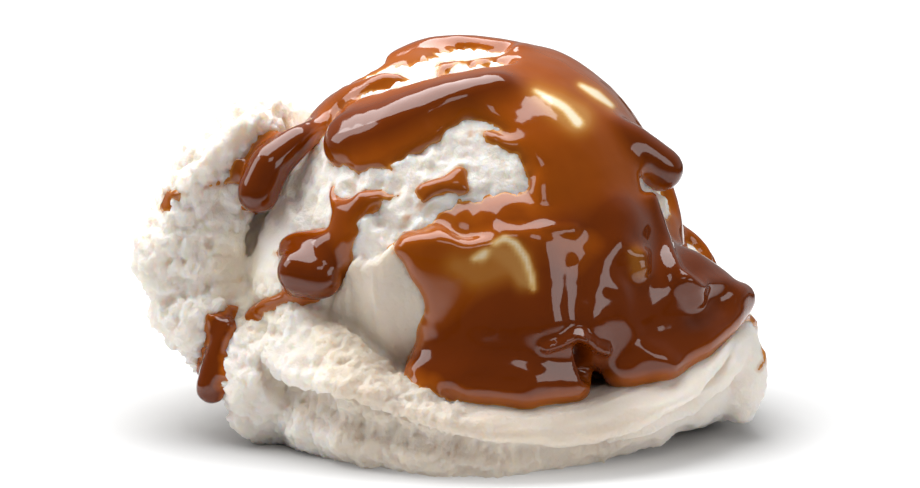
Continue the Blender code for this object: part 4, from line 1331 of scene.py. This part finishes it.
def faded(tree: bpy.types.NodeTree, value: bpy.types.NodeSocket, span: tuple[float, float],
          reach: tuple[float, float]) -> bpy.types.NodeSocket:
    """Eases from one number to another.

    Args:
        tree: The material's node tree.
        value: The socket that drives it.
        span: The values between which it changes.
        reach: The numbers at the two.

    Returns:
        The number's socket.
    """
    made = node(tree, "MapRange", interpolation_type="SMOOTHSTEP", From_Min=span[0],
                From_Max=span[1], To_Min=reach[0], To_Max=reach[1])
    tree.links.new(value, made.inputs["Value"])
    return made.outputs["Result"]


@dataclass(frozen=True)
class CreamFinish:
    """Soft vanilla ice cream: milky, a little moist, with yellower painted shade in its hollows."""

    cream: Colour = (0.91, 0.84, 0.77)
    # Painted shade: the hollows and troughs are darker and yellower
    hollow: Colour = (0.82, 0.71, 0.53)
    # Painted shade on the front layer and in the groove under the roll
    painted_shade: Colour = (0.66, 0.57, 0.47)
    stain: Colour = (0.62, 0.27, 0.05)
    glow_radius: tuple[float, float, float] = (1.0, 0.75, 0.5)
    glow_scale: float = 0.0028
    glow_weight: float = 0.8
    roughness: float = 0.5
    shine: float = 0.35
    # Size in mm and octaves of each noise, and the bump's strength and distance in metres
    grain: tuple[float, float] = (0.9, 4.0)
    flakes: tuple[float, float] = (2.2, 6.0)
    bump: tuple[float, float] = (0.45, 0.0006)

    def material(self) -> bpy.types.Material:
        """Builds the material."""
        made, tree, shader = new_material("vanilla ice cream")
        # Painted shade: darker and yellower in the hollows, then darker on the front layer and groove
        hollow_shaded = mixed(tree, attribute(tree, "hollow"), self.cream, self.hollow)
        painted_shaded = mixed(tree, attribute(tree, "painted_shade"), hollow_shaded, self.painted_shade)
        stained = mixed(tree, attribute(tree, "stain"), painted_shaded, self.stain)
        tree.links.new(stained, shader.inputs["Base Color"])
        shader.inputs["Roughness"].default_value = self.roughness
        shader.inputs["Subsurface Weight"].default_value = self.glow_weight
        shader.inputs["Subsurface Radius"].default_value = self.glow_radius
        shader.inputs["Subsurface Scale"].default_value = self.glow_scale
        shader.inputs["Specular IOR Level"].default_value = self.shine
        fine = noise_on_object(tree, *self.grain)
        flakes = noise_on_object(tree, *self.flakes)
        torn = node(tree, "Math", operation="MULTIPLY_ADD")
        tree.links.new(flakes, torn.inputs[0])
        tree.links.new(attribute(tree, "torn"), torn.inputs[1])
        tree.links.new(fine, torn.inputs[2])
        bumped(tree, shader, torn.outputs["Value"], self.bump)
        return made


@dataclass(frozen=True)
class CaramelFinish:
    """Wet caramel: dark where it is deep, amber where it is thin."""

    # Thickness in mm and colour there
    depths: tuple[tuple[float, Colour], ...] = (
        (0.0, (0.60, 0.25, 0.04)),
        (0.35, (0.34, 0.085, 0.006)),
        (1.1, (0.34, 0.074, 0.002)),
        (1.9, (0.27, 0.054, 0.001)),
        (2.9, (0.16, 0.027, 0.0005)),
        (6.0, (0.14, 0.023, 0.0004)),
    )
    deepest: float = 6.0
    amber: Colour = (0.55, 0.22, 0.03)
    gold: Colour = (0.86, 0.56, 0.20)
    cream: Colour = (0.92, 0.80, 0.58)
    # How far a veil has thinned where it is deep brown, amber, gold and cream
    veil_stops: tuple[float, float, float, float] = (0.0, 0.35, 0.7, 0.95)
    roughness: float = 0.07
    refraction: float = 1.5
    # Size in mm and octaves of the wave's noise, and the bump's strength and distance in metres
    wave: tuple[float, float] = (7.0, 2.0)
    bump: tuple[float, float] = (0.25, 0.0010)

    def material(self) -> bpy.types.Material:
        """Builds the material."""
        made, tree, shader = new_material("wet caramel")
        scale = node(tree, "MapRange", From_Min=0.0, From_Max=self.deepest)
        tree.links.new(attribute(tree, "thick"), scale.inputs["Value"])
        stops = [(depth / self.deepest, colour) for depth, colour in self.depths]
        deep = ramp(tree, scale.outputs["Result"], stops)
        veil = attribute(tree, "veil")
        brown = self.depths[2][1]
        thinned = zip(self.veil_stops, (brown, self.amber, self.gold, self.cream))
        thin = ramp(tree, veil, list(thinned))
        colour = mixed(tree, veil, deep, thin)
        tree.links.new(colour, shader.inputs["Base Color"])
        shader.inputs["Roughness"].default_value = self.roughness
        shader.inputs["IOR"].default_value = self.refraction
        bumped(tree, shader, noise_on_object(tree, *self.wave), self.bump)
        return made


@dataclass
class IceCream:
    """The scoop itself."""

    base: Base
    relief: IceCreamRelief = field(default_factory=IceCreamRelief)
    finish: CreamFinish = field(default_factory=CreamFinish)
    outward_settling: float = 0.6
    # Painted shade in the hollows: rounds of averaging that they are measured against, depth in mm
    # where the shade turns darker and yellower, share of the depth and of the two troughs, and the
    # troughs' radius and soft edge
    hollow_shade_rounds: float = 12
    hollow_depth: tuple[float, float] = (0.1, 1.6)
    hollow_shade_share: float = 0.5
    trough_shade_share: float = 0.6
    most_hollow_shade: float = 0.9
    hollow_shade_reach: tuple[float, float] = (3.0, 5.0)
    trough_shade_reach: tuple[float, float] = (4.0, 6.0)
    # Painted shade on the front layer and in the groove under the roll
    layer_painted_shade: float = 0.75
    layer_rounds: float = 1
    groove_painted_shade: float = 0.5
    # Torn bump: its strength, and its share on the ball's crust
    torn: float = 3.0
    torn_on_crust: float = 0.5
    # Stain beside the sauce: its strength, and the sauce's heights where it starts and is full
    stain: float = 0.5
    stain_fade: tuple[float, float] = (-0.45, 0.1)

    def build(self, sauce: Array) -> bpy.types.Object:
        """Grows the relief out of the smooth skin.

        Args:
            sauce: Height of the sauce over the skin.

        Returns:
            The scoop in mm.
        """
        base = self.base
        self.coarse = self.relief.coarse(base, sauce)
        made = base.copy("ice_cream_scoop", base.points + base.outward * self.coarse[:, None])
        outward = unit_rows(base.averaged(normals_of(made.data), self.outward_settling))
        points = points_of(made.data)
        points = points + outward * self.relief.fine(base, points, sauce)[:, None]
        points[:, 2] = np.maximum(points[:, 2], 0.0)
        set_points(made.data, points)
        self.tint(made.data, points, sauce)
        return made

    def tint(self, mesh: bpy.types.Mesh, points: Array, sauce: Array) -> None:
        """Stores the painted shade in hollows and on the front layer, the torn places and sauce stains.

        Args:
            mesh: The scoop's mesh.
            points: Its points.
            sauce: Height of the sauce over the smooth skin.
        """
        base, relief = self.base, self.relief
        # Painted shade in the hollows and the two troughs
        wide = base.averaged(points, self.hollow_shade_rounds)
        depth = np.sum((wide - points) * base.outward, axis=1)
        trough = relief.line_weight(base.points, relief.hollow_line, *self.hollow_shade_reach)
        smooth = relief.line_weight(base.points, relief.smooth_trough, *self.trough_shade_reach)
        hollow = self.hollow_shade_share * ease_between(*self.hollow_depth, depth)
        hollow += self.trough_shade_share * np.maximum(trough, smooth)
        set_attribute(mesh, "hollow", np.clip(hollow, 0, self.most_hollow_shade))
        # Painted shade on the front layer and in the groove under the roll
        layer = self.layer_painted_shade * base.averaged(relief.petal, self.layer_rounds)
        set_attribute(mesh, "painted_shade", np.maximum(layer, self.groove_painted_shade * relief.groove))
        on_ball = relief.on_ball(base)
        crumbly = relief.crumb_weight(base.points) * (1 - on_ball)
        on_crust = self.torn_on_crust * on_ball * (1 - relief.petal)
        set_attribute(mesh, "torn", self.torn * (crumbly + on_crust))
        set_attribute(mesh, "stain", self.stain * ease_between(*self.stain_fade, sauce))


@dataclass
class Caramel:
    """The poured sauce, its bead, its drip and its smears."""

    base: Base
    plan: SaucePlan = field(default_factory=SaucePlan)
    finish: CaramelFinish = field(default_factory=CaramelFinish)
    voxel: float = 0.525
    keep_below: float = -0.7
    wall: float = 0.4
    smear_vertices: int = 700
    crumb_vertices: int = 12
    settling: float = 40.0
    edge_rounds: int = 4
    filling_rounds: int = 150
    deep_rounds: int = 16
    # Rounds of averaging of the plan, of the relief under the sauce, of the depth and the veils
    plan_settling: float = 0.4
    under_settling: float = 4
    depth_rounds: int = 8
    veil_rounds: int = 2
    # The sauce's heights in mm between which it turns wet, and deep enough to fill hollows
    wet_from: tuple[float, float] = (-0.2, 1.2)
    deep_from: tuple[float, float] = (1.0, 2.4)
    # How much a face has to be turned towards the camera to count in full
    facing_fade: tuple[float, float] = (0.0, 0.2)
    # Where the sauce is so thin that the cream shows: strength, width of the fading edge in
    # pixels, and pixel places with a radius in pixels
    veils: dict[str, tuple[float, float, list[Stop]]] = field(default_factory=lambda: {
        "slit": (1.0, 3.0, [(536, 90, 0.5), (556, 101, 2.5), (566, 107, 2.5), (579, 122, 3.5)]),
        "slit glow": (0.5, 14.0, [(538, 92, 1.0), (557, 104, 6.0), (578, 118, 8.0)]),
        "upper slit": (0.95, 3.0, [(581, 84, 0.5), (597, 93, 2.5), (613, 105, 0.5)]),
        "upper glow": (0.4, 8.0, [(582, 85, 1.0), (597, 94, 4.0), (613, 105, 1.0)]),
        "belly glow": (0.42, 15.0, [(456, 266, 2.0), (476, 272, 8.0), (500, 266, 6.0)]),
        "belly patch": (0.95, 2.5, [(474, 259, 1.5), (482, 256, 4.0), (486, 252, 2.5)]),
        "belly arc": (1.0, 3.4, [
            (494, 244, 0.5), (505, 238, 1.0), (516, 244, 1.5), (526, 258, 1.5), (532, 276, 1.0),
            (534, 290, 0.1)]),
        "arc glow": (0.5, 10.0, [(498, 254, 4.0), (516, 262, 8.0), (524, 280, 4.0)]),
        "drop glow": (0.35, 6.0, [(637, 254, 4.0), (640, 272, 4.0)]),
    })

    def build(self, scoop: IceCream, scoop_tree: BVHTree,
              sauce: Array) -> dict[SaucePiece, bpy.types.Object]:
        """Pours the sauce over the scoop.

        Args:
            scoop: The ice cream with its relief.
            scoop_tree: The ice cream's faces.
            sauce: Height of the sauce over the smooth skin.

        Returns:
            The sauce's pieces in mm.
        """
        base = self.base
        over = base.averaged(scoop.coarse, self.under_settling) + sauce
        surface = base.points + base.outward * over[:, None]
        wet = ease_between(*self.wet_from, sauce)
        for _ in range(base.rounds(self.settling)):
            pull = relaxed(surface, base.edges, 1) - surface
            rise = np.maximum(np.sum(pull * base.outward, axis=1), 0) * wet
            surface = surface + base.outward * rise[:, None]
        skin = base.copy("sauce", surface)
        drops = [self.plan.drop(name, stops) for name, stops in self.plan.drops.items()]
        skin = one_skin([skin] + drops, "sauce", self.voxel)
        edges = edges_of(skin.data)
        points = relaxed(points_of(skin.data), edges, self.edge_rounds)
        set_points(skin.data, points)
        deep = ease_between(*self.deep_from, self.above(skin.data, scoop_tree))
        deep = relaxed(deep, edges, self.depth_rounds)[:, None]
        for _ in range(self.filling_rounds):
            pull = relaxed(points, edges, 1) - points
            rise = np.maximum(np.sum(pull * normals_of(skin.data), axis=1), 0)[:, None]
            points = points + normals_of(skin.data) * rise * deep
            set_points(skin.data, points)
        points = points * (1 - deep) + relaxed(points, edges, self.deep_rounds) * deep
        set_points(skin.data, points)
        set_points(skin.data, points + normals_of(skin.data) * self.waved(skin.data)[:, None])
        return self.pieces(skin, scoop_tree)

    def facing(self, mesh: bpy.types.Mesh) -> Array:
        """1 where the mesh faces the camera, 0 where it is turned away."""
        toward = unit_rows(np.array(PHOTOGRAPH.eye()) - points_of(mesh))
        return ease_between(*self.facing_fade, np.sum(normals_of(mesh) * toward, axis=1))

    def waved(self, mesh: bpy.types.Mesh) -> Array:
        """Height of the waves on the poured front, for each vertex."""
        pixels = PHOTOGRAPH.pixels_of(points_of(mesh))
        height = np.zeros(len(pixels))
        for rise, width, stops in self.plan.waves.values():
            line = np.array(stops, float)
            reach = distance_to_line(pixels, line, np.zeros(len(line)))
            height += rise * np.exp(-(reach / width) ** 2)
        return height * self.facing(mesh)

    def above(self, mesh: bpy.types.Mesh, tree: BVHTree) -> Array:
        """Height of the mesh's vertices over a surface, less than 0 below it."""
        points = points_of(mesh)
        height = np.empty(len(points))
        for k, point in enumerate(points):
            place, normal, _, distance = tree.find_nearest(Vector(point))
            height[k] = math.copysign(distance, (Vector(point) - place) @ normal)
        return height

    def pieces(self, skin: bpy.types.Object, tree: BVHTree) -> dict[SaucePiece, bpy.types.Object]:
        """Cuts away the skin inside the ice cream and shares out what is left.

        Args:
            skin: The sauce's whole skin. It is removed.
            tree: The ice cream's faces.

        Returns:
            Each piece with its object, closed by a thin wall on its hidden side.
        """
        height = self.above(skin.data, tree)
        bm = bmesh.new()
        bm.from_mesh(skin.data)
        bm.verts.ensure_lookup_table()
        hidden = [face for face in bm.faces
                  if max(height[vert.index] for vert in face.verts) < self.keep_below]
        bmesh.ops.delete(bm, geom=hidden, context="FACES")
        tag = bm.faces.layers.int.new("piece")
        kinds = list(SaucePiece)
        for island in self.islands(bm):
            middle = PHOTOGRAPH.pixels_of(np.mean([vert.co for vert in island], axis=0)[None])[0]
            large = len(island) > self.smear_vertices
            faces = list({face for vert in island for face in vert.link_faces})
            pixels = PHOTOGRAPH.pixels_of(np.array([face.calc_center_median() for face in faces]))
            for face, pixel in zip(faces, pixels):
                face[tag] = 1 + kinds.index(SaucePiece.at(middle, pixel, large))
        made = {}
        for number, piece in enumerate(kinds, 1):
            part = bm.copy()
            layer = part.faces.layers.int["piece"]
            others = [face for face in part.faces if face[layer] != number]
            bmesh.ops.delete(part, geom=others, context="FACES")
            made[piece] = self.walled(part, piece.value)
        bm.free()
        bpy.data.objects.remove(skin)
        return made

    def islands(self, bm: bmesh.types.BMesh) -> list[list[bmesh.types.BMVert]]:
        """Groups the vertices that hang together."""
        found = []
        waiting = set(bm.verts)
        while waiting:
            island = [waiting.pop()]
            for vert in island:
                beside = {edge.other_vert(vert) for edge in vert.link_edges} & waiting
                waiting -= beside
                island.extend(beside)
            if len(island) > self.crumb_vertices:
                found.append(island)
        return found

    def walled(self, bm: bmesh.types.BMesh, name: str) -> bpy.types.Object:
        """Closes an open skin with a wall on its inner side.

        Args:
            bm: The open skin. Places where it hangs together by one point are cut away.
            name: The finished piece's name.

        Returns:
            The closed piece.
        """
        pinched = [0]
        while pinched:
            pinched = [vert for vert in bm.verts
                       if sum(edge.is_boundary for edge in vert.link_edges) > 2]
            bmesh.ops.delete(bm, geom=pinched, context="VERTS")
        made = object_from(bm, name)
        wall = made.modifiers.new("wall", "SOLIDIFY")
        wall.thickness = self.wall
        wall.offset = -1
        wall.use_even_offset = False
        return applied(made)

    def thickness(self, mesh: bpy.types.Mesh, tree: BVHTree, depth: float) -> None:
        """Stores how thick the sauce is and where the cream shines through.

        Args:
            mesh: A piece of the sauce.
            tree: The ice cream's faces.
            depth: How many times deeper the piece is than its height over the ice cream.
        """
        set_attribute(mesh, "thick", depth * np.maximum(self.above(mesh, tree), 0))
        points = points_of(mesh)
        pixels = PHOTOGRAPH.pixels_of(points)
        front = self.facing(mesh)
        veil = np.zeros(len(points))
        for strength, width, stops in self.veils.values():
            line = np.array(stops, float)
            reach = distance_to_line(pixels, line[:, :2], line[:, 2])
            reach = np.maximum(reach, 0)
            veil = np.maximum(veil, strength * front * np.exp(-(reach / width) ** 2))
        set_attribute(mesh, "veil", relaxed(veil, edges_of(mesh), self.veil_rounds))


@dataclass
class Studio:
    """A pale table with a painted glow towards its edges and a painted shadow under the scoop, soft boxes
    and a graded surround.
    """

    floor_size: float = 3.0
    floor_colour: Colour = (0.46, 0.46, 0.46)
    floor_roughness: float = 0.8
    floor_shine: float = 0.1
    # Painted shadow: the dim patch of the table under the scoop, left out of its glow, wider than deep
    glow_behind: float = 0.010
    glow_flatness: float = 1.45
    glow_start: float = 0.042
    glow_full: float = 0.088
    glow: float = 0.6
    # The table is dark out of the camera's sight, so that the sauce doesn't mirror a bright one
    far_colour: Colour = (0.04, 0.04, 0.04)
    side_fade: tuple[float, float] = (0.10, 0.22)
    front_fade: tuple[float, float] = (-0.065, -0.15)
    # Place, width and depth, and brightness of each soft box
    boxes: dict[str, tuple[Stop, tuple[float, float], float]] = field(default_factory=lambda: {
        "overhead": ((-0.12, 0.14, 0.60), (0.72, 0.72), 5.4),
        "left": ((-0.62, 0.02, 0.42), (0.36, 0.36), 3.9),
        "above the camera": ((0.06, -0.50, 0.50), (0.20, 0.14), 3.0),
        "low right": ((0.60, -0.44, 0.26), (0.48, 0.24), 2.9),
    })
    # Brightness of the surround in front of the scoop, beside it and behind it
    surround: tuple[float, float, float] = (0.09, 0.12, 0.32)
    surround_stops: tuple[float, float, float] = (0.25, 0.5, 0.75)
    # What the soft boxes face, in metres
    aim: Stop = (0.0, 0.0, 0.03)
    sensor_width: float = 36.0
    near_and_far: tuple[float, float] = (0.01, 50)

    def light(self, name: str, place: Stop, size: tuple[float, float], brightness: float) -> None:
        """Adds a rectangular soft box that faces the scoop."""
        lamp = bpy.data.lights.new(name, "AREA")
        lamp.shape = "RECTANGLE"
        lamp.size, lamp.size_y = size
        lamp.energy = brightness * math.pi * size[0] * size[1]
        made = bpy.data.objects.new(name, lamp)
        bpy.context.scene.collection.objects.link(made)
        made.location = place
        toward = Vector(self.aim) - Vector(place)
        made.rotation_euler = toward.to_track_quat("-Z", "Y").to_euler()

    def floor(self) -> None:
        """Lays the pale table."""
        bm = bmesh.new()
        bmesh.ops.create_grid(bm, x_segments=1, y_segments=1, size=self.floor_size)
        made = object_from(bm, "table")
        material, tree, shader = new_material("pale table")
        shader.inputs["Roughness"].default_value = self.floor_roughness
        shader.inputs["Specular IOR Level"].default_value = self.floor_shine
        shader.inputs["Emission Color"].default_value = (1, 1, 1, 1)
        # Painted glow on the table, which fades out under the scoop into a painted shadow
        place = node(tree, "Mapping")
        place.inputs["Location"].default_value = (0, -self.glow_behind * self.glow_flatness, 0)
        place.inputs["Scale"].default_value = (1, self.glow_flatness, 1)
        tree.links.new(node(tree, "TexCoord").outputs["Object"], place.inputs["Vector"])
        reach = node(tree, "VectorMath", operation="LENGTH")
        tree.links.new(place.outputs["Vector"], reach.inputs[0])
        glow = faded(tree, reach.outputs["Value"], (self.glow_start, self.glow_full), (0.0, self.glow))
        near = self.in_sight(tree)
        tree.links.new(product(tree, glow, near), shader.inputs["Emission Strength"])
        colour = mixed(tree, near, self.far_colour, self.floor_colour)
        tree.links.new(colour, shader.inputs["Base Color"])
        made.data.materials.append(material)

    def in_sight(self, tree: bpy.types.NodeTree) -> bpy.types.NodeSocket:
        """1 on the part of the table that the photograph shows, fading to 0 beside it.

        Args:
            tree: The table's node tree.

        Returns:
            The number's socket.
        """
        parts = node(tree, "SeparateXYZ")
        tree.links.new(node(tree, "TexCoord").outputs["Object"], parts.inputs["Vector"])
        aside = node(tree, "Math", operation="ABSOLUTE")
        tree.links.new(parts.outputs["X"], aside.inputs[0])
        side = faded(tree, aside.outputs["Value"], self.side_fade, (1.0, 0.0))
        front = faded(tree, parts.outputs["Y"], self.front_fade[::-1], (0.0, 1.0))
        return product(tree, side, front)

    def surroundings(self) -> None:
        """Grades the surround from dim in front of the scoop to bright behind it."""
        world = bpy.data.worlds.new("surround")
        world.use_nodes = True
        bpy.context.scene.world = world
        tree = world.node_tree
        direction = node(tree, "TexCoord").outputs["Generated"]
        parts = node(tree, "SeparateXYZ")
        tree.links.new(direction, parts.inputs["Vector"])
        half = node(tree, "MapRange", From_Min=-1.0, From_Max=1.0)
        tree.links.new(parts.outputs["Y"], half.inputs["Value"])
        stops = [(stop, (value,) * 3) for stop, value in zip(self.surround_stops, self.surround)]
        shade = ramp(tree, half.outputs["Result"], stops)
        tree.links.new(shade, tree.nodes["Background"].inputs["Color"])

    def build(self) -> None:
        """Sets up the table, the lights and the surround."""
        self.floor()
        for name, (place, size, brightness) in self.boxes.items():
            self.light(name, place, size, brightness)
        self.surroundings()
        bpy.context.scene.view_settings.view_transform = "Standard"

    def camera(self) -> None:
        """Puts the camera where the photograph was taken from."""
        data = bpy.data.cameras.new("camera")
        made = bpy.data.objects.new("camera", data)
        bpy.context.scene.collection.objects.link(made)
        made.location = to_frame(PHOTOGRAPH.eye())
        made.rotation_euler = PHOTOGRAPH.ahead().to_track_quat("-Z", "Y").to_euler()
        half_field = PHOTOGRAPH.half_width_pixels / PHOTOGRAPH.pixels_per_mm / PHOTOGRAPH.distance
        data.sensor_width = self.sensor_width
        data.lens = data.sensor_width / 2 / half_field
        data.clip_start, data.clip_end = self.near_and_far
        bpy.context.scene.camera = made


def to_frame(place: Vector) -> Vector:
    """A place in mm in the scoop's frame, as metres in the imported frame."""
    return (place - Vector((*MIDDLE, 0))) * METRES_PER_MM


def hand_over(item: bpy.types.Object, material: bpy.types.Material, slot: Slot, *nodes: str) -> None:
    """Puts a finished piece in the frame and files it.

    Args:
        item: The piece, in mm in the scoop's frame.
        material: Its finish.
        slot: The record's slot that the finish belongs to; not used.
        nodes: The solids that it stands for.
    """
    to_origin = Matrix.Translation((-MIDDLE[0], -MIDDLE[1], 0))
    item.data.transform(Matrix.Scale(METRES_PER_MM, 4) @ to_origin)
    item.data.materials.clear()
    item.data.materials.append(material)
    item.data.shade_smooth()
    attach(item, BODY)
    if nodes:
        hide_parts(*nodes)
    LOG.info("%s: %d faces", item.name, len(item.data.polygons))


def main() -> None:
    """Builds the scoop, its sauce and the studio."""
    logging.basicConfig(level=logging.INFO, format="%(name)s: %(message)s")
    base = Base()
    base.build()
    caramel = Caramel(base)
    sauce = base.averaged(caramel.plan.height(base), caramel.plan_settling)
    ice_cream = IceCream(base)
    scoop = ice_cream.build(sauce)
    scoop_tree = tree_of(scoop.data)
    pieces = caramel.build(ice_cream, scoop_tree, sauce)
    bpy.data.objects.remove(base.object)
    hand_over(scoop, ice_cream.finish.material(), Slot.ICE_CREAM, "ice_cream")
    wet = caramel.finish.material()
    for piece, item in pieces.items():
        caramel.thickness(item.data, scoop_tree, piece.depth())
        hand_over(item, wet, Slot.CARAMEL, *piece.solids())
    studio = Studio()
    studio.build()
    studio.camera()


if __name__ == "__main__":
    main()
